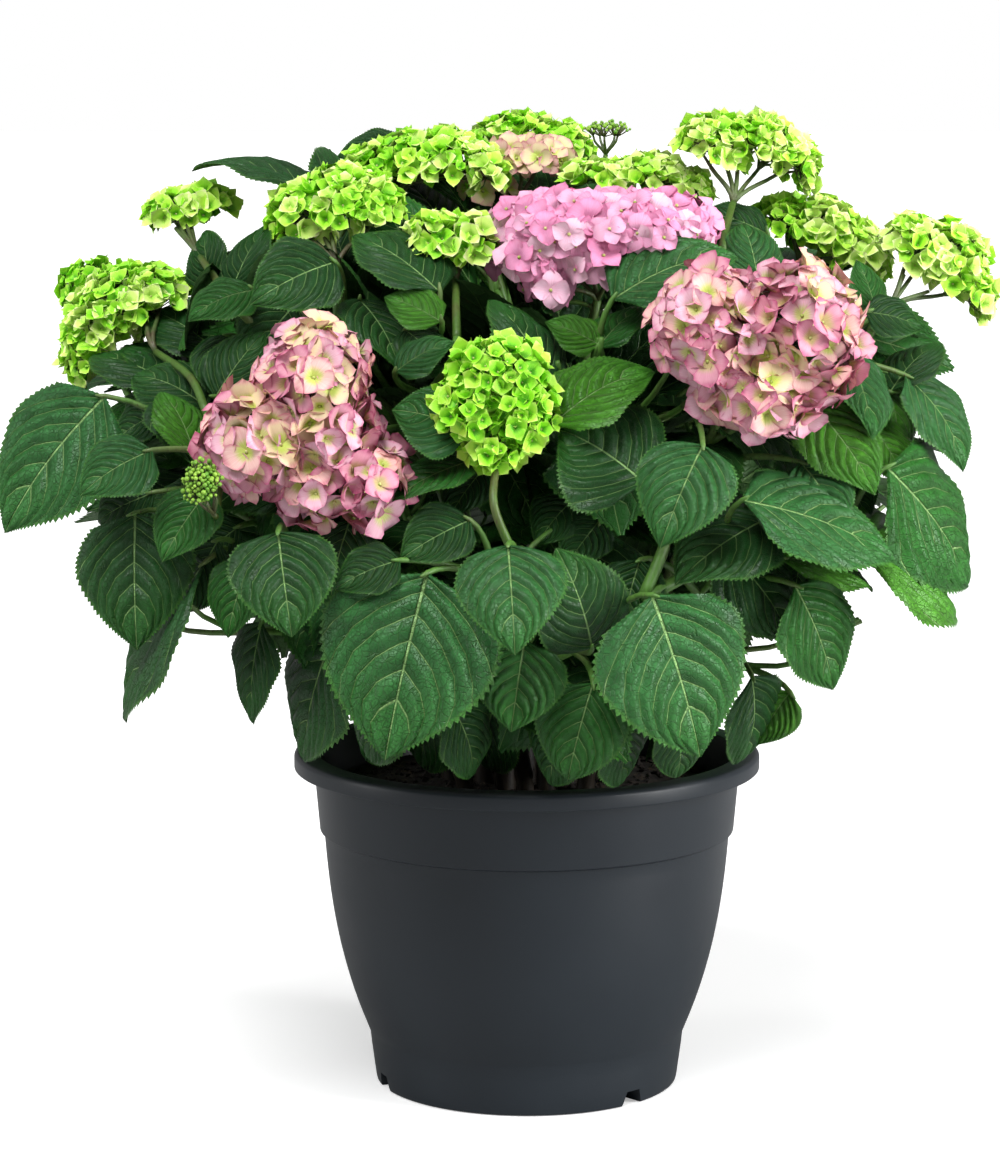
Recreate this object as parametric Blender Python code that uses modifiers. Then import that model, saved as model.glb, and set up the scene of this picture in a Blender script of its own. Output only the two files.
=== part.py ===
"""Mophead hydrangea in its pot.

A round plastic pot holds compost. Canes rise from a root crown in the compost and fan out
into masses of leaves: a skirt low down, a ring of shoulders above it and one mass on top.
Domed flower heads sit on the leaves or stand clear of them on short stalks.

The origin is the middle of the pot's flat underside. +Z is up and -Y is the front.
"""
import math

import bmesh
import bpy
from mathutils import Matrix, Vector, noise

# ---- Driving dimensions, in metres ------------------------------------------------------
GAP = 0.0003                  # left between neighbouring pieces
SOCKET = 0.016                # how far a cane or a stalk runs into a mass or a head

RIM_RADIUS = 0.160            # outside of the pot's rim
POT_HEIGHT = 0.2306
RIM_BAND = 0.0115             # height of the rim's outer face
COLLAR_TOP_RADIUS = 0.1462    # under the rim
COLLAR_FOOT_RADIUS = 0.1426
COLLAR_FOOT = 0.1764
COLLAR_STEP = 0.0014          # height of the step from the collar in to the body
BODY_TOP_RADIUS = 0.1396
KINK_HEIGHT = 0.0355          # where the curved body meets the foot
KINK_RADIUS = 0.1090
FOOT_RADIUS = 0.1042          # at the ground
BELLY_STRAIGHT = 0.36         # share of the narrowing that is even; the rest is curved
BELLY_POWER = 2.5
WALL = 0.0030
LIP_RADIUS = 0.1436           # inner edge of the rim
FLOOR = 0.0135                # top of the pot's floor, above the drainage channels

NOTCH_TURNS = (-159, -47, 77)  # degrees from +X, the three drainage notches in the foot
NOTCH_DEPTH = 0.010
NOTCH_WIDTH = 0.0185
NOTCH_TOP_WIDTH = 0.0115
NOTCH_INNER = 0.072           # how far in the channel behind a notch starts
DRAIN_RADIUS = 0.0045

COMPOST_TOP = 0.2085          # in the middle; it falls a little towards the wall
COMPOST_FALL = 0.0040

CROWN_CENTRE = Vector((-0.020, 0.000, 0.0))
CANE_RADIUS = 0.0060
CANE_TIP_RADIUS = 0.0042
STALK_RADIUS = 0.0030
STALK_TIP_RADIUS = 0.0024
PLANTED = 0.022               # how far a cane runs down into the compost
FLARE = 1.35                  # how much wider a cane is at its foot
ARRIVAL = 0.050               # the last stretch of a cane, in line with its mass
CANE_STEPS = 6
STALK_STEPS = 4

LEAF_BUMP = 0.17              # unevenness, as a share of the size
HEAD_BUMP = 0.07
WIDE_BUMPS = 2.1              # how close the wide bumps and the fine ones lie
FINE_BUMPS = 4.6
NEIGHBOURS = 2.2              # lumps further apart than this many half sizes never meet

TURNED_STEPS = 36             # facets round the pot
COMPOST_STEPS = 18
LEAF_SEGMENTS = 14              # facets round a mass of leaves, and from pole to pole
LEAF_RINGS = 8
HEAD_SEGMENTS = 9
HEAD_RINGS = 6

# Skirt: seven masses that hang low round the pot, those in front lower and flatter.
SKIRT = ("front", "front_right", "right", "back_right", "back_left", "left", "front_left")
SKIRT_RING = 0.226
SKIRT_HEIGHT = 0.412
SKIRT_FRONT_DROP = 0.066
SKIRT_HALF = (0.121, 0.108, 0.104)       # outwards, sideways, upwards
SKIRT_FRONT_THINNER = 0.024
SKIRT_CANES_RING = 0.050
SKIRT_CANE_RISE = 0.060       # how far up a cane starts to lean out
SKIRT_AIM = 0.255             # height on the middle line that a mass takes its cane from

# Shoulders: six masses above the skirt.
SHOULDERS = ("front_left", "front_right", "right", "back_right", "back_left", "left")
SHOULDER_START = -120
SHOULDER_RING = 0.158
SHOULDER_HEIGHT = 0.515
SHOULDER_HALF = (0.112, 0.098, 0.078)
SHOULDER_CANES_RING = 0.027
SHOULDER_CANE_RISE = 0.120
SHOULDER_AIM = 0.340

TOP_CENTRE = Vector((-0.010, 0.010, 0.560))
TOP_HALF = (0.085, 0.085, 0.060)
TOP_CANE_RISE = 0.100

# Flower heads: name, centre, half sizes across, in depth and in height, the leaf mass that
# its stalk grows from (None where the head rests on the leaves), and its tint.
HEADS = (
    ("front_left", (-0.140, -0.215, 0.474), (0.072, 0.056, 0.070), None, "pink"),
    ("front_right", (0.142, -0.205, 0.522), (0.074, 0.058, 0.064), None, "pink"),
    ("upper_pink", (0.053, -0.105, 0.583), (0.080, 0.064, 0.052), None, "pink"),
    ("upper_blush", (-0.006, 0.052, 0.626), (0.046, 0.040, 0.032), None, "pink"),
    ("front_middle", (-0.022, -0.222, 0.492), (0.039, 0.036, 0.041), "skirt_front", "lime"),
    ("upper_middle", (-0.046, -0.108, 0.602), (0.031, 0.028, 0.022), "shoulder_front_left", "lime"),
    ("far_left", (-0.269, -0.030, 0.523), (0.043, 0.044, 0.042), "skirt_left", "lime"),
    ("rear_left", (-0.302, 0.090, 0.545), (0.028, 0.028, 0.022), "skirt_left", "lime"),
    ("left", (-0.227, 0.030, 0.600), (0.032, 0.030, 0.018), "shoulder_left", "lime"),
    ("upper_left", (-0.127, -0.055, 0.609), (0.044, 0.040, 0.026), "shoulder_left", "lime"),
    ("top_left", (-0.076, 0.020, 0.640), (0.056, 0.038, 0.024), "top", "lime"),
    ("top_back", (0.002, 0.135, 0.642), (0.041, 0.038, 0.024), "shoulder_back_right", "lime"),
    ("top_middle", (0.073, 0.020, 0.619), (0.050, 0.042, 0.022), "top", "lime"),
    ("top_right", (0.147, 0.005, 0.641), (0.046, 0.042, 0.026), "shoulder_right", "lime"),
    ("right", (0.200, 0.030, 0.582), (0.045, 0.042, 0.028), None, "lime"),
    ("far_right", (0.272, -0.020, 0.560), (0.038, 0.040, 0.036), "shoulder_right", "lime"),
    ("back_left", (-0.170, 0.225, 0.508), (0.062, 0.052, 0.048), None, "pink"),
    ("back_middle", (0.020, 0.255, 0.540), (0.048, 0.044, 0.038), None, "lime"),
    ("back_right", (0.165, 0.215, 0.512), (0.060, 0.052, 0.046), None, "pink"),
)


# ---- Scene and materials ----------------------------------------------------------------
def clear_scene():
    for item in list(bpy.data.objects):
        bpy.data.objects.remove(item, do_unlink=True)


def new_collection(name):
    collection = bpy.data.collections.new(name)
    bpy.context.scene.collection.children.link(collection)
    return collection


def make_material(name, colour, roughness, metallic=0.0):
    material = bpy.data.materials.new(name)
    material.use_nodes = True
    shader = material.node_tree.nodes["Principled BSDF"]
    shader.inputs["Base Color"].default_value = (*colour, 1.0)
    shader.inputs["Roughness"].default_value = roughness
    shader.inputs["Metallic"].default_value = metallic
    material.diffuse_color = (*colour, 1.0)
    return material


def move_to(item, collection):
    for owner in list(item.users_collection):
        owner.objects.unlink(item)
    collection.objects.link(item)


def as_cutter(item):
    move_to(item, CUTTERS)
    item.hide_render = True
    item.display_type = "WIRE"
    return item


def cut(item, cutter):
    modifier = item.modifiers.new("cut by " + cutter.name, "BOOLEAN")
    modifier.operation = "DIFFERENCE"
    modifier.solver = "EXACT"
    modifier.object = cutter


# ---- Turned pieces ----------------------------------------------------------------------
def turned(name, profile, steps, material):
    """A solid of revolution about Z from (radius, height) pairs, top to bottom outside."""
    mesh = bpy.data.meshes.new(name)
    rim = [(radius, 0.0, height) for radius, height in profile]
    mesh.from_pydata(rim, [(i, i + 1) for i in range(len(rim) - 1)], [])
    item = bpy.data.objects.new(name, mesh)
    PLANT.objects.link(item)
    screw = item.modifiers.new("turn", "SCREW")
    screw.axis = "Z"
    screw.angle = math.tau
    screw.steps = steps
    screw.render_steps = steps
    screw.use_merge_vertices = True
    screw.merge_threshold = 0.00001
    screw.use_smooth_shade = True
    mesh.materials.append(material)
    return item


def body_radius(height):
    """The pot's outer radius below the collar: a belly that curves in to the foot."""
    top = COLLAR_FOOT - COLLAR_STEP
    if height <= KINK_HEIGHT:
        return FOOT_RADIUS + (KINK_RADIUS - FOOT_RADIUS) * height / KINK_HEIGHT
    fall = (top - height) / (top - KINK_HEIGHT)
    narrowing = BODY_TOP_RADIUS - KINK_RADIUS
    curved = (1.0 - BELLY_STRAIGHT) * fall ** BELLY_POWER
    return BODY_TOP_RADIUS - narrowing * (BELLY_STRAIGHT * fall + curved)


def pot_profile():
    rim_foot = POT_HEIGHT - RIM_BAND
    inside_heights = (0.020, KINK_HEIGHT, 0.070, 0.110, 0.160)
    inside = [(0.0, FLOOR), (body_radius(0.020) - 2 * WALL, FLOOR)]
    inside += [(body_radius(height) - WALL, height) for height in inside_heights]
    rim = [
        (LIP_RADIUS, POT_HEIGHT - 0.0010),
        (LIP_RADIUS + 0.0012, POT_HEIGHT),
        (RIM_RADIUS - 0.0034, POT_HEIGHT),
        (RIM_RADIUS - 0.0009, POT_HEIGHT - 0.0011),
        (RIM_RADIUS, POT_HEIGHT - 0.0036),
        (RIM_RADIUS, rim_foot + 0.0008),
        (RIM_RADIUS - 0.0012, rim_foot),
        (COLLAR_TOP_RADIUS, rim_foot),
    ]
    collar = [
        (COLLAR_FOOT_RADIUS, COLLAR_FOOT),
        (BODY_TOP_RADIUS, COLLAR_FOOT - COLLAR_STEP),
    ]
    outside_heights = (0.145, 0.115, 0.090, 0.070, 0.052, KINK_HEIGHT, 0.0012)
    outside = [(body_radius(height), height) for height in outside_heights]
    return inside + rim + collar + outside + [(FOOT_RADIUS - 0.0012, 0.0), (0.0, 0.0)]


def notch_cutter(index, turn):
    """A channel under the foot, narrower at its top, with a drain hole at its inner end."""
    angle = math.radians(turn)
    outward = Vector((math.cos(angle), math.sin(angle), 0.0))
    outer = FOOT_RADIUS + 0.010
    bpy.ops.mesh.primitive_cube_add(size=1.0)
    channel = bpy.context.object
    channel.name = f"notch_{index}"
    for vertex in channel.data.vertices:
        width = NOTCH_TOP_WIDTH if vertex.co.z > 0 else NOTCH_WIDTH
        vertex.co.x *= outer - NOTCH_INNER
        vertex.co.y *= width
        vertex.co.z = NOTCH_DEPTH if vertex.co.z > 0 else -0.001
    channel.rotation_euler.z = angle
    channel.location = outward * (outer + NOTCH_INNER) / 2
    as_cutter(channel)
    bpy.ops.mesh.primitive_cylinder_add(radius=DRAIN_RADIUS, depth=2 * FLOOR, vertices=12)
    hole = bpy.context.object
    hole.name = f"drain_{index}"
    hole.location = outward * (NOTCH_INNER + 2 * DRAIN_RADIUS) + Vector((0, 0, FLOOR))
    as_cutter(hole)
    return channel, hole


def build_pot():
    pot = turned("pot", pot_profile(), TURNED_STEPS, POT_PLASTIC)
    for index, turn in enumerate(NOTCH_TURNS, 1):
        for cutter in notch_cutter(index, turn):
            cut(pot, cutter)
    return pot


def build_compost():
    """The fill, a hair inside the pot's wall and floor, a little lower at the edge."""
    def inner(height):
        return body_radius(height) - WALL - GAP

    edge_top = COMPOST_TOP - COMPOST_FALL
    wall_slope = (LIP_RADIUS - body_radius(0.160) + WALL) / (POT_HEIGHT - 0.0010 - 0.160)
    edge_radius = inner(0.160) + wall_slope * (edge_top - 0.160)
    profile = [
        (0.0, COMPOST_TOP),
        (0.075, COMPOST_TOP - 0.0004),
        (edge_radius - 0.020, edge_top + 0.0012),
        (edge_radius - 0.0008, edge_top),
    ]
    heights = (0.160, 0.110, 0.070, KINK_HEIGHT, 0.022)
    profile += [(inner(height) - 0.0006, height) for height in heights]
    profile += [(body_radius(0.020) - 2.4 * WALL, FLOOR + GAP), (0.0, FLOOR + GAP)]
    return turned("compost", profile, COMPOST_STEPS, COMPOST)


# ---- Masses of leaves and flower heads --------------------------------------------------
class Lump:
    """An uneven solid round a centre: an ellipsoid with bumps, kept clear of its neighbours."""

    def __init__(self, name, centre, half, turn=0.0, bump=LEAF_BUMP, seed=0.0):
        self.name = name
        self.centre = Vector(centre)
        self.half = half
        self.turn = turn
        self.bump = bump
        self.seed = Vector((seed, 2.3 * seed, 5.1))
        self.walls = []

    def free_reach(self, direction):
        """How far the lump reaches from its centre in a direction, neighbours aside."""
        local = Matrix.Rotation(-self.turn, 3, "Z") @ direction
        parts = [(local[axis] / self.half[axis]) ** 2 for axis in range(3)]
        smooth = 1.0 / math.sqrt(sum(parts))
        wide = noise.noise(direction * WIDE_BUMPS + self.seed)
        fine = noise.noise(direction * FINE_BUMPS + 2 * self.seed)
        return smooth * (1.0 + self.bump * (wide + 0.7 * fine))

    def reach(self, direction):
        """The same, held back by the flat walls shared with the neighbours."""
        result = self.free_reach(direction)
        for normal, distance in self.walls:
            facing = direction.dot(normal)
            if facing > 0.01:
                result = min(result, distance / facing)
        return result

    def point_below(self, target, depth):
        """A point at a depth under the surface, on the line from the centre to a target."""
        direction = (Vector(target) - self.centre).normalized()
        return self.centre + direction * (self.reach(direction) - depth)


def share_space(lumps):
    """A flat wall between each two lumps that would meet, where their reaches divide the way."""
    for index, one in enumerate(lumps):
        for other in lumps[index + 1:]:
            way = other.centre - one.centre
            normal = way.normalized()
            mine = one.free_reach(normal)
            theirs = other.free_reach(-normal)
            if way.length > NEIGHBOURS * max(*one.half, *other.half):
                continue
            at = way.length * mine / (mine + theirs)
            one.walls.append((normal, at - GAP / 2))
            other.walls.append((-normal, way.length - at - GAP / 2))


def build_lump(lump, segments, rings, material):
    bpy.ops.mesh.primitive_uv_sphere_add(segments=segments, ring_count=rings, radius=1.0)
    item = bpy.context.object
    item.name = lump.name
    item.data.name = lump.name
    item.location = lump.centre
    for vertex in item.data.vertices:
        direction = vertex.co.normalized()
        vertex.co = direction * lump.reach(direction)
    item.data.materials.append(material)
    item.data.shade_smooth()
    move_to(item, PLANT)
    return item


def around(turn, ring, height):
    angle = math.radians(turn)
    return CROWN_CENTRE + Vector((ring * math.cos(angle), ring * math.sin(angle), height))


def leaf_lumps():
    lumps = {}
    for index, name in enumerate(SKIRT):
        turn = -90 + index * 360 / len(SKIRT)
        front = max(0.0, math.cos(math.radians(turn + 90)))
        height = SKIRT_HEIGHT - SKIRT_FRONT_DROP * front
        half = (*SKIRT_HALF[:2], SKIRT_HALF[2] - SKIRT_FRONT_THINNER * front)
        lump = Lump("skirt_" + name, around(turn, SKIRT_RING, height), half,
                    math.radians(turn), seed=1.7 * index)
        lumps[lump.name] = lump
    for index, name in enumerate(SHOULDERS):
        turn = SHOULDER_START + index * 360 / len(SHOULDERS)
        lump = Lump("shoulder_" + name, around(turn, SHOULDER_RING, SHOULDER_HEIGHT),
                    SHOULDER_HALF, math.radians(turn), seed=11 + 1.3 * index)
        lumps[lump.name] = lump
    lumps["top"] = Lump("top", TOP_CENTRE, TOP_HALF, seed=23.0)
    return lumps


def head_lumps():
    lumps = {}
    for index, (name, centre, half, _, _) in enumerate(HEADS):
        lumps[name] = Lump("head_" + name, centre, half, bump=HEAD_BUMP, seed=31 + 1.9 * index)
    return lumps


# ---- Canes and stalks -------------------------------------------------------------------
def bezier(start, first, second, end, amount):
    rest = 1.0 - amount
    return (start * rest ** 3 + first * 3 * amount * rest ** 2
            + second * 3 * amount ** 2 * rest + end * amount ** 3)


def tube(name, points, radii, material):
    """A tapering round limb with flat ends along a polyline."""
    curve = bpy.data.curves.new(name, "CURVE")
    curve.dimensions = "3D"
    curve.bevel_depth = 1.0
    curve.bevel_resolution = 1
    curve.use_fill_caps = True
    spline = curve.splines.new("POLY")
    spline.points.add(len(points) - 1)
    for slot, point, radius in zip(spline.points, points, radii):
        slot.co = (*point, 1.0)
        slot.radius = radius
    drawn = bpy.data.objects.new(name + "_line", curve)
    PLANT.objects.link(drawn)
    bpy.context.view_layer.update()
    seen = drawn.evaluated_get(bpy.context.evaluated_depsgraph_get())
    mesh = bpy.data.meshes.new_from_object(seen)
    body = bmesh.new()
    body.from_mesh(mesh)
    bmesh.ops.remove_doubles(body, verts=body.verts, dist=0.00001)
    body.to_mesh(mesh)
    body.free()
    mesh.name = name
    item = bpy.data.objects.new(name, mesh)
    item.matrix_world = drawn.matrix_world
    PLANT.objects.link(item)
    bpy.data.objects.remove(drawn, do_unlink=True)
    bpy.data.curves.remove(curve)
    mesh.materials.append(material)
    mesh.shade_smooth()
    return item


def limb(name, path, radii, hosts, material):
    """A limb along a path, and its socket, a hair wider and longer, cut in each host."""
    item = tube(name, path, radii, material)
    before = (path[0] - path[1]).normalized() * GAP
    after = (path[-1] - path[-2]).normalized() * GAP
    longer = [path[0] + before, *path[1:-1], path[-1] + after]
    cutter = as_cutter(tube(name + "_socket", longer, [radius + GAP for radius in radii], material))
    for host in hosts:
        cut(host, cutter)
    return item


def cane_path(base, tip, rise, run):
    """Points on a smooth way up from the root crown and out into a mass."""
    lift = Vector((0, 0, rise))
    steps = range(CANE_STEPS + 1)
    return [bezier(base, base + lift, tip - run, tip, step / CANE_STEPS) for step in steps]


def cane_radii(count):
    """A flare at the foot, then an even taper."""
    radii = []
    for step in range(count):
        amount = step / (count - 1)
        radius = CANE_RADIUS + (CANE_TIP_RADIUS - CANE_RADIUS) * amount
        radii.append(radius * (FLARE if step == 0 else 1.0))
    return radii


def build_canes(lumps, solids, compost):
    planted = COMPOST_TOP - PLANTED
    for name, lump in lumps.items():
        outward = lump.centre - CROWN_CENTRE
        outward.z = 0.0
        turn = outward.normalized()
        if name == "top":
            base = Vector((0.0, 0.0, planted))
            tip = lump.point_below(lump.centre - Vector((0, 0, 1)), SOCKET)
            rise = TOP_CANE_RISE
        elif name.startswith("skirt"):
            base = turn * SKIRT_CANES_RING + Vector((0, 0, planted))
            tip = lump.point_below(CROWN_CENTRE + Vector((0, 0, SKIRT_AIM)), SOCKET)
            rise = SKIRT_CANE_RISE
        else:
            base = turn * SHOULDER_CANES_RING + Vector((0, 0, planted))
            tip = lump.point_below(CROWN_CENTRE + Vector((0, 0, SHOULDER_AIM)), SOCKET)
            rise = SHOULDER_CANE_RISE
        run = (lump.centre - tip).normalized() * ARRIVAL
        path = cane_path(base, tip, rise, run)
        limb("cane_" + name, path, cane_radii(len(path)), (solids[name], compost), CANE_GREEN)


def build_stalks(leaves, heads, solids, bloom_solids):
    for name, _, _, carrier, _ in HEADS:
        if carrier is None:
            continue
        head = heads[name]
        mass = leaves[carrier]
        under = head.centre - Vector((0, 0, head.half[2]))
        start = mass.point_below(under, SOCKET)
        end = head.point_below(start, SOCKET)
        lift = Vector((0, 0, (end - start).length * 0.3))
        amounts = [step / STALK_STEPS for step in range(STALK_STEPS + 1)]
        path = [bezier(start, start + lift, end - lift, end, amount) for amount in amounts]
        radii = [STALK_RADIUS + (STALK_TIP_RADIUS - STALK_RADIUS) * amount for amount in amounts]
        limb("stalk_" + name, path, radii, (solids[carrier], bloom_solids[name]), CANE_GREEN)


# ---- Assembly ---------------------------------------------------------------------------
clear_scene()
PLANT = new_collection("potted_hydrangea")
CUTTERS = new_collection("cutters")
POT_PLASTIC = make_material("pot_plastic", (0.030, 0.036, 0.043), 0.42)
COMPOST = make_material("compost", (0.022, 0.016, 0.012), 0.95)
CANE_GREEN = make_material("cane_green", (0.180, 0.240, 0.075), 0.55)
LEAF_GREEN = make_material("leaf_green", (0.035, 0.130, 0.030), 0.50)
PETALS = {
    "pink": make_material("petal_pink", (0.760, 0.330, 0.450), 0.60),
    "lime": make_material("petal_lime", (0.430, 0.640, 0.100), 0.60),
}

build_pot()
COMPOST_FILL = build_compost()
LEAF_LUMPS = leaf_lumps()
HEAD_LUMPS = head_lumps()
share_space([*LEAF_LUMPS.values(), *HEAD_LUMPS.values()])
LEAF_SOLIDS = {name: build_lump(lump, LEAF_SEGMENTS, LEAF_RINGS, LEAF_GREEN) for name, lump in LEAF_LUMPS.items()}
HEAD_SOLIDS = {}
for head_name, _, _, _, tint in HEADS:
    HEAD_SOLIDS[head_name] = build_lump(HEAD_LUMPS[head_name], HEAD_SEGMENTS, HEAD_RINGS, PETALS[tint])
build_canes(LEAF_LUMPS, LEAF_SOLIDS, COMPOST_FILL)
build_stalks(LEAF_LUMPS, HEAD_LUMPS, LEAF_SOLIDS, HEAD_SOLIDS)
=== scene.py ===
import math
import random

import bmesh
import bpy
import numpy as np
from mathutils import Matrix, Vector, noise
from mathutils.bvhtree import BVHTree


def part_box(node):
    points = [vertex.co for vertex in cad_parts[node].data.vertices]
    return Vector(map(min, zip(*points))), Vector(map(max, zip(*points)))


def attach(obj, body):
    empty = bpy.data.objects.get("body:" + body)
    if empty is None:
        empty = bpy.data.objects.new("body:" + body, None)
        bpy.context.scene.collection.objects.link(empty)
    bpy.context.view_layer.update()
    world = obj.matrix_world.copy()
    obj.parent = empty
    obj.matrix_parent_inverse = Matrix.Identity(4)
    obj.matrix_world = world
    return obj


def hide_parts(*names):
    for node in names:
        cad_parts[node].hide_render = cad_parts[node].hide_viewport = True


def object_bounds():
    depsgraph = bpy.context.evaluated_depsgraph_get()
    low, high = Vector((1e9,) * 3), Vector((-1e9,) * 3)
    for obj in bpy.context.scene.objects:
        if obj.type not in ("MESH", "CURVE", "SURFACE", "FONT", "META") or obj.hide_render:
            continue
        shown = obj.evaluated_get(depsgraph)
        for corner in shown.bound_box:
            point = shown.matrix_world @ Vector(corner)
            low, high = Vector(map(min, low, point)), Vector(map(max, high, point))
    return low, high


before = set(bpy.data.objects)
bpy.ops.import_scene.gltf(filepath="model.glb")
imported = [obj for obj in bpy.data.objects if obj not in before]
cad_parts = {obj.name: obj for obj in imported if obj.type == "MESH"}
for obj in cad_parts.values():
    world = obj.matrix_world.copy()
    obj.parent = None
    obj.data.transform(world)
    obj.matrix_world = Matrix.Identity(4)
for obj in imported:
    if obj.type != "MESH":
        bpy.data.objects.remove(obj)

CAD_LOW, CAD_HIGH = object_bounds()


# ---- The pot ------------------------------------------------------------------------------
# A round patio pot, injection moulded in slate-grey polypropylene in one shot: a flat rim, a
# collar below it, a curved body and a straight foot with drainage notches cut up into it.
POT_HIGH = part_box("pot")[1]
RIM_RADIUS = POT_HIGH.x
POT_HEIGHT = POT_HIGH.z
RIM_BAND = 0.0115
COLLAR_TOP_RADIUS = 0.1462
COLLAR_FOOT_RADIUS = 0.1426
COLLAR_FOOT = 0.1764
BODY_TOP_RADIUS = 0.1396
BODY_TOP = 0.1750
KINK_HEIGHT = 0.0355
KINK_RADIUS = 0.1090
FOOT_RADIUS = 0.1042
LIP_RADIUS = 0.1436
POT_WALL = 0.0030
POT_FLOOR = 0.0135
POT_STEPS = 144                              # corners round the pot
POLE_RADIUS = 0.0005                         # where a turned section stops short of the axis
INNER_LEVELS = (0.020, 0.036, 0.070, 0.110, 0.160)
LIP_EDGE = 0.0010                            # radii of the moulded edges
RIM_EDGE = 0.0034
FINE_EDGE = 0.0012
COLLAR_NOOK = 0.0016
NOTCH_TURNS = (-159, -47, 77)                # where the notches stand, in degrees
NOTCH_INNER = 0.072
NOTCH_HEIGHT = 0.010
NOTCH_TOP_WIDTH = 0.0115
NOTCH_FOOT_WIDTH = 0.0185
DRAIN_RADIUS = 0.0045
RIM_HIGHLIGHT_LOW, RIM_HIGHLIGHT_HIGH = 0.2285, 0.2306         # a painted highlight shows on the rim's top above these heights


def body_radius(height):
    """Outer radius below the collar: a belly that narrows faster and faster to the foot."""
    if height <= KINK_HEIGHT:
        return FOOT_RADIUS + (KINK_RADIUS - FOOT_RADIUS) * height / KINK_HEIGHT
    fall = (BODY_TOP - height) / (BODY_TOP - KINK_HEIGHT)
    return BODY_TOP_RADIUS - (BODY_TOP_RADIUS - KINK_RADIUS) * (0.36 * fall + 0.64 * fall ** 2.5)


def arc(centre, radius, start, end, count):
    """Points of a rounded edge in the (radius, height) plane, angles in degrees."""
    points = []
    for step in range(count):
        angle = math.radians(start + (end - start) * step / (count - 1))
        points.append((centre[0] + radius * math.cos(angle), centre[1] + radius * math.sin(angle)))
    return points


def pot_rows():
    """The wall's section, from the floor inside, up over the rim and down outside."""
    rim_foot = POT_HEIGHT - RIM_BAND
    rows = [(POLE_RADIUS, POT_FLOOR), (body_radius(0.02) - 2 * POT_WALL, POT_FLOOR)]
    rows += [(body_radius(z) - POT_WALL, z) for z in INNER_LEVELS]
    rows += arc((LIP_RADIUS + LIP_EDGE, POT_HEIGHT - LIP_EDGE), LIP_EDGE, 180, 90, 4)
    rows += arc((RIM_RADIUS - RIM_EDGE, POT_HEIGHT - RIM_EDGE), RIM_EDGE, 90, 0, 7)
    rows += arc((RIM_RADIUS - FINE_EDGE, rim_foot + FINE_EDGE), FINE_EDGE, 0, -90, 4)
    rows += arc((COLLAR_TOP_RADIUS + COLLAR_NOOK, rim_foot - COLLAR_NOOK), COLLAR_NOOK, 90, 180, 4)
    rows += arc((COLLAR_FOOT_RADIUS - FINE_EDGE, COLLAR_FOOT + 0.0008), FINE_EDGE, 0, -80, 4)
    rows += arc((BODY_TOP_RADIUS + LIP_EDGE, BODY_TOP - 0.0005), LIP_EDGE, 100, 180, 3)
    outside = np.linspace(0.166, KINK_HEIGHT + 0.004, 16)
    rows += [(body_radius(z), z) for z in outside]
    rows += [(KINK_RADIUS + 0.0006, KINK_HEIGHT + 0.0012), (KINK_RADIUS - 0.0004, KINK_HEIGHT - 0.0012)]
    rows += [(body_radius(z), z) for z in (0.024, 0.012, 0.0025)]
    rows += arc((FOOT_RADIUS - FINE_EDGE, FINE_EDGE), FINE_EDGE, 0, -90, 4)
    rows += [(POLE_RADIUS, 0.0)]
    return rows


def turn(name, rows, steps):
    """A turned piece: a ring pulled from row to row, and its two ends drawn in to a point."""
    bpy.ops.object.select_all(action="DESELECT")
    bpy.ops.mesh.primitive_circle_add(vertices=steps, radius=rows[0][0])
    item = bpy.context.object
    item.name = name
    bpy.ops.object.mode_set(mode="EDIT")
    bpy.ops.mesh.select_all(action="SELECT")
    bpy.ops.transform.translate(value=(0, 0, rows[0][1]))
    for (radius, height), (wider, higher) in zip(rows, rows[1:]):
        lift = (0, 0, higher - height)
        bpy.ops.mesh.extrude_region_move(TRANSFORM_OT_translate={"value": lift})
        grow = wider / radius
        bpy.ops.transform.resize(value=(grow, grow, 1), center_override=(0, 0, 0))
    bpy.ops.mesh.merge(type="CENTER")
    bpy.ops.object.mode_set(mode="OBJECT")
    mesh = bmesh.new()
    mesh.from_mesh(item.data)
    start = [v for v in mesh.verts if math.hypot(v.co.x, v.co.y) < 1.6 * POLE_RADIUS]
    bmesh.ops.remove_doubles(mesh, verts=start, dist=2.4 * POLE_RADIUS)
    bmesh.ops.recalc_face_normals(mesh, faces=mesh.faces)
    mesh.to_mesh(item.data)
    mesh.free()
    return item


def pick_only(item):
    bpy.ops.object.select_all(action="DESELECT")
    item.select_set(True)
    bpy.context.view_layer.objects.active = item


def apply_modifiers(item):
    pick_only(item)
    for modifier in list(item.modifiers):
        bpy.ops.object.modifier_apply(modifier=modifier.name)


def cut_away(item, cutter):
    modifier = item.modifiers.new("cut", "BOOLEAN")
    modifier.operation = "DIFFERENCE"
    modifier.object = cutter
    apply_modifiers(item)
    bpy.data.objects.remove(cutter, do_unlink=True)


def shade(item, degrees):
    pick_only(item)
    bpy.ops.object.shade_smooth_by_angle(angle=math.radians(degrees))


def put(tree, kind, wires=None, **settings):
    """A shader node: its settings, then its inputs, each a value or a socket to link."""
    node = tree.nodes.new("ShaderNode" + kind)
    for name, value in settings.items():
        setattr(node, name, value)
    for name, value in (wires or {}).items():
        if isinstance(value, bpy.types.NodeSocket):
            tree.links.new(value, node.inputs[name])
        else:
            node.inputs[name].default_value = value
    return node


def sum_up(tree, operation, *values):
    """One step of arithmetic on sockets and numbers."""
    return put(tree, "Math", dict(enumerate(values)), operation=operation).outputs[0]


def blend_colour(tree, amount, one, other, way="MIX"):
    wires = {0: amount, 6: one, 7: other}
    return put(tree, "Mix", wires, data_type="RGBA", blend_type=way).outputs[2]


def spread(tree, value, low, high, out_low=0.0, out_high=1.0):
    """A smooth rise of a value from one range to another."""
    wires = {0: value, 1: low, 2: high, 3: out_low, 4: out_high}
    return put(tree, "MapRange", wires, interpolation_type="SMOOTHSTEP").outputs[0]


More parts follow.
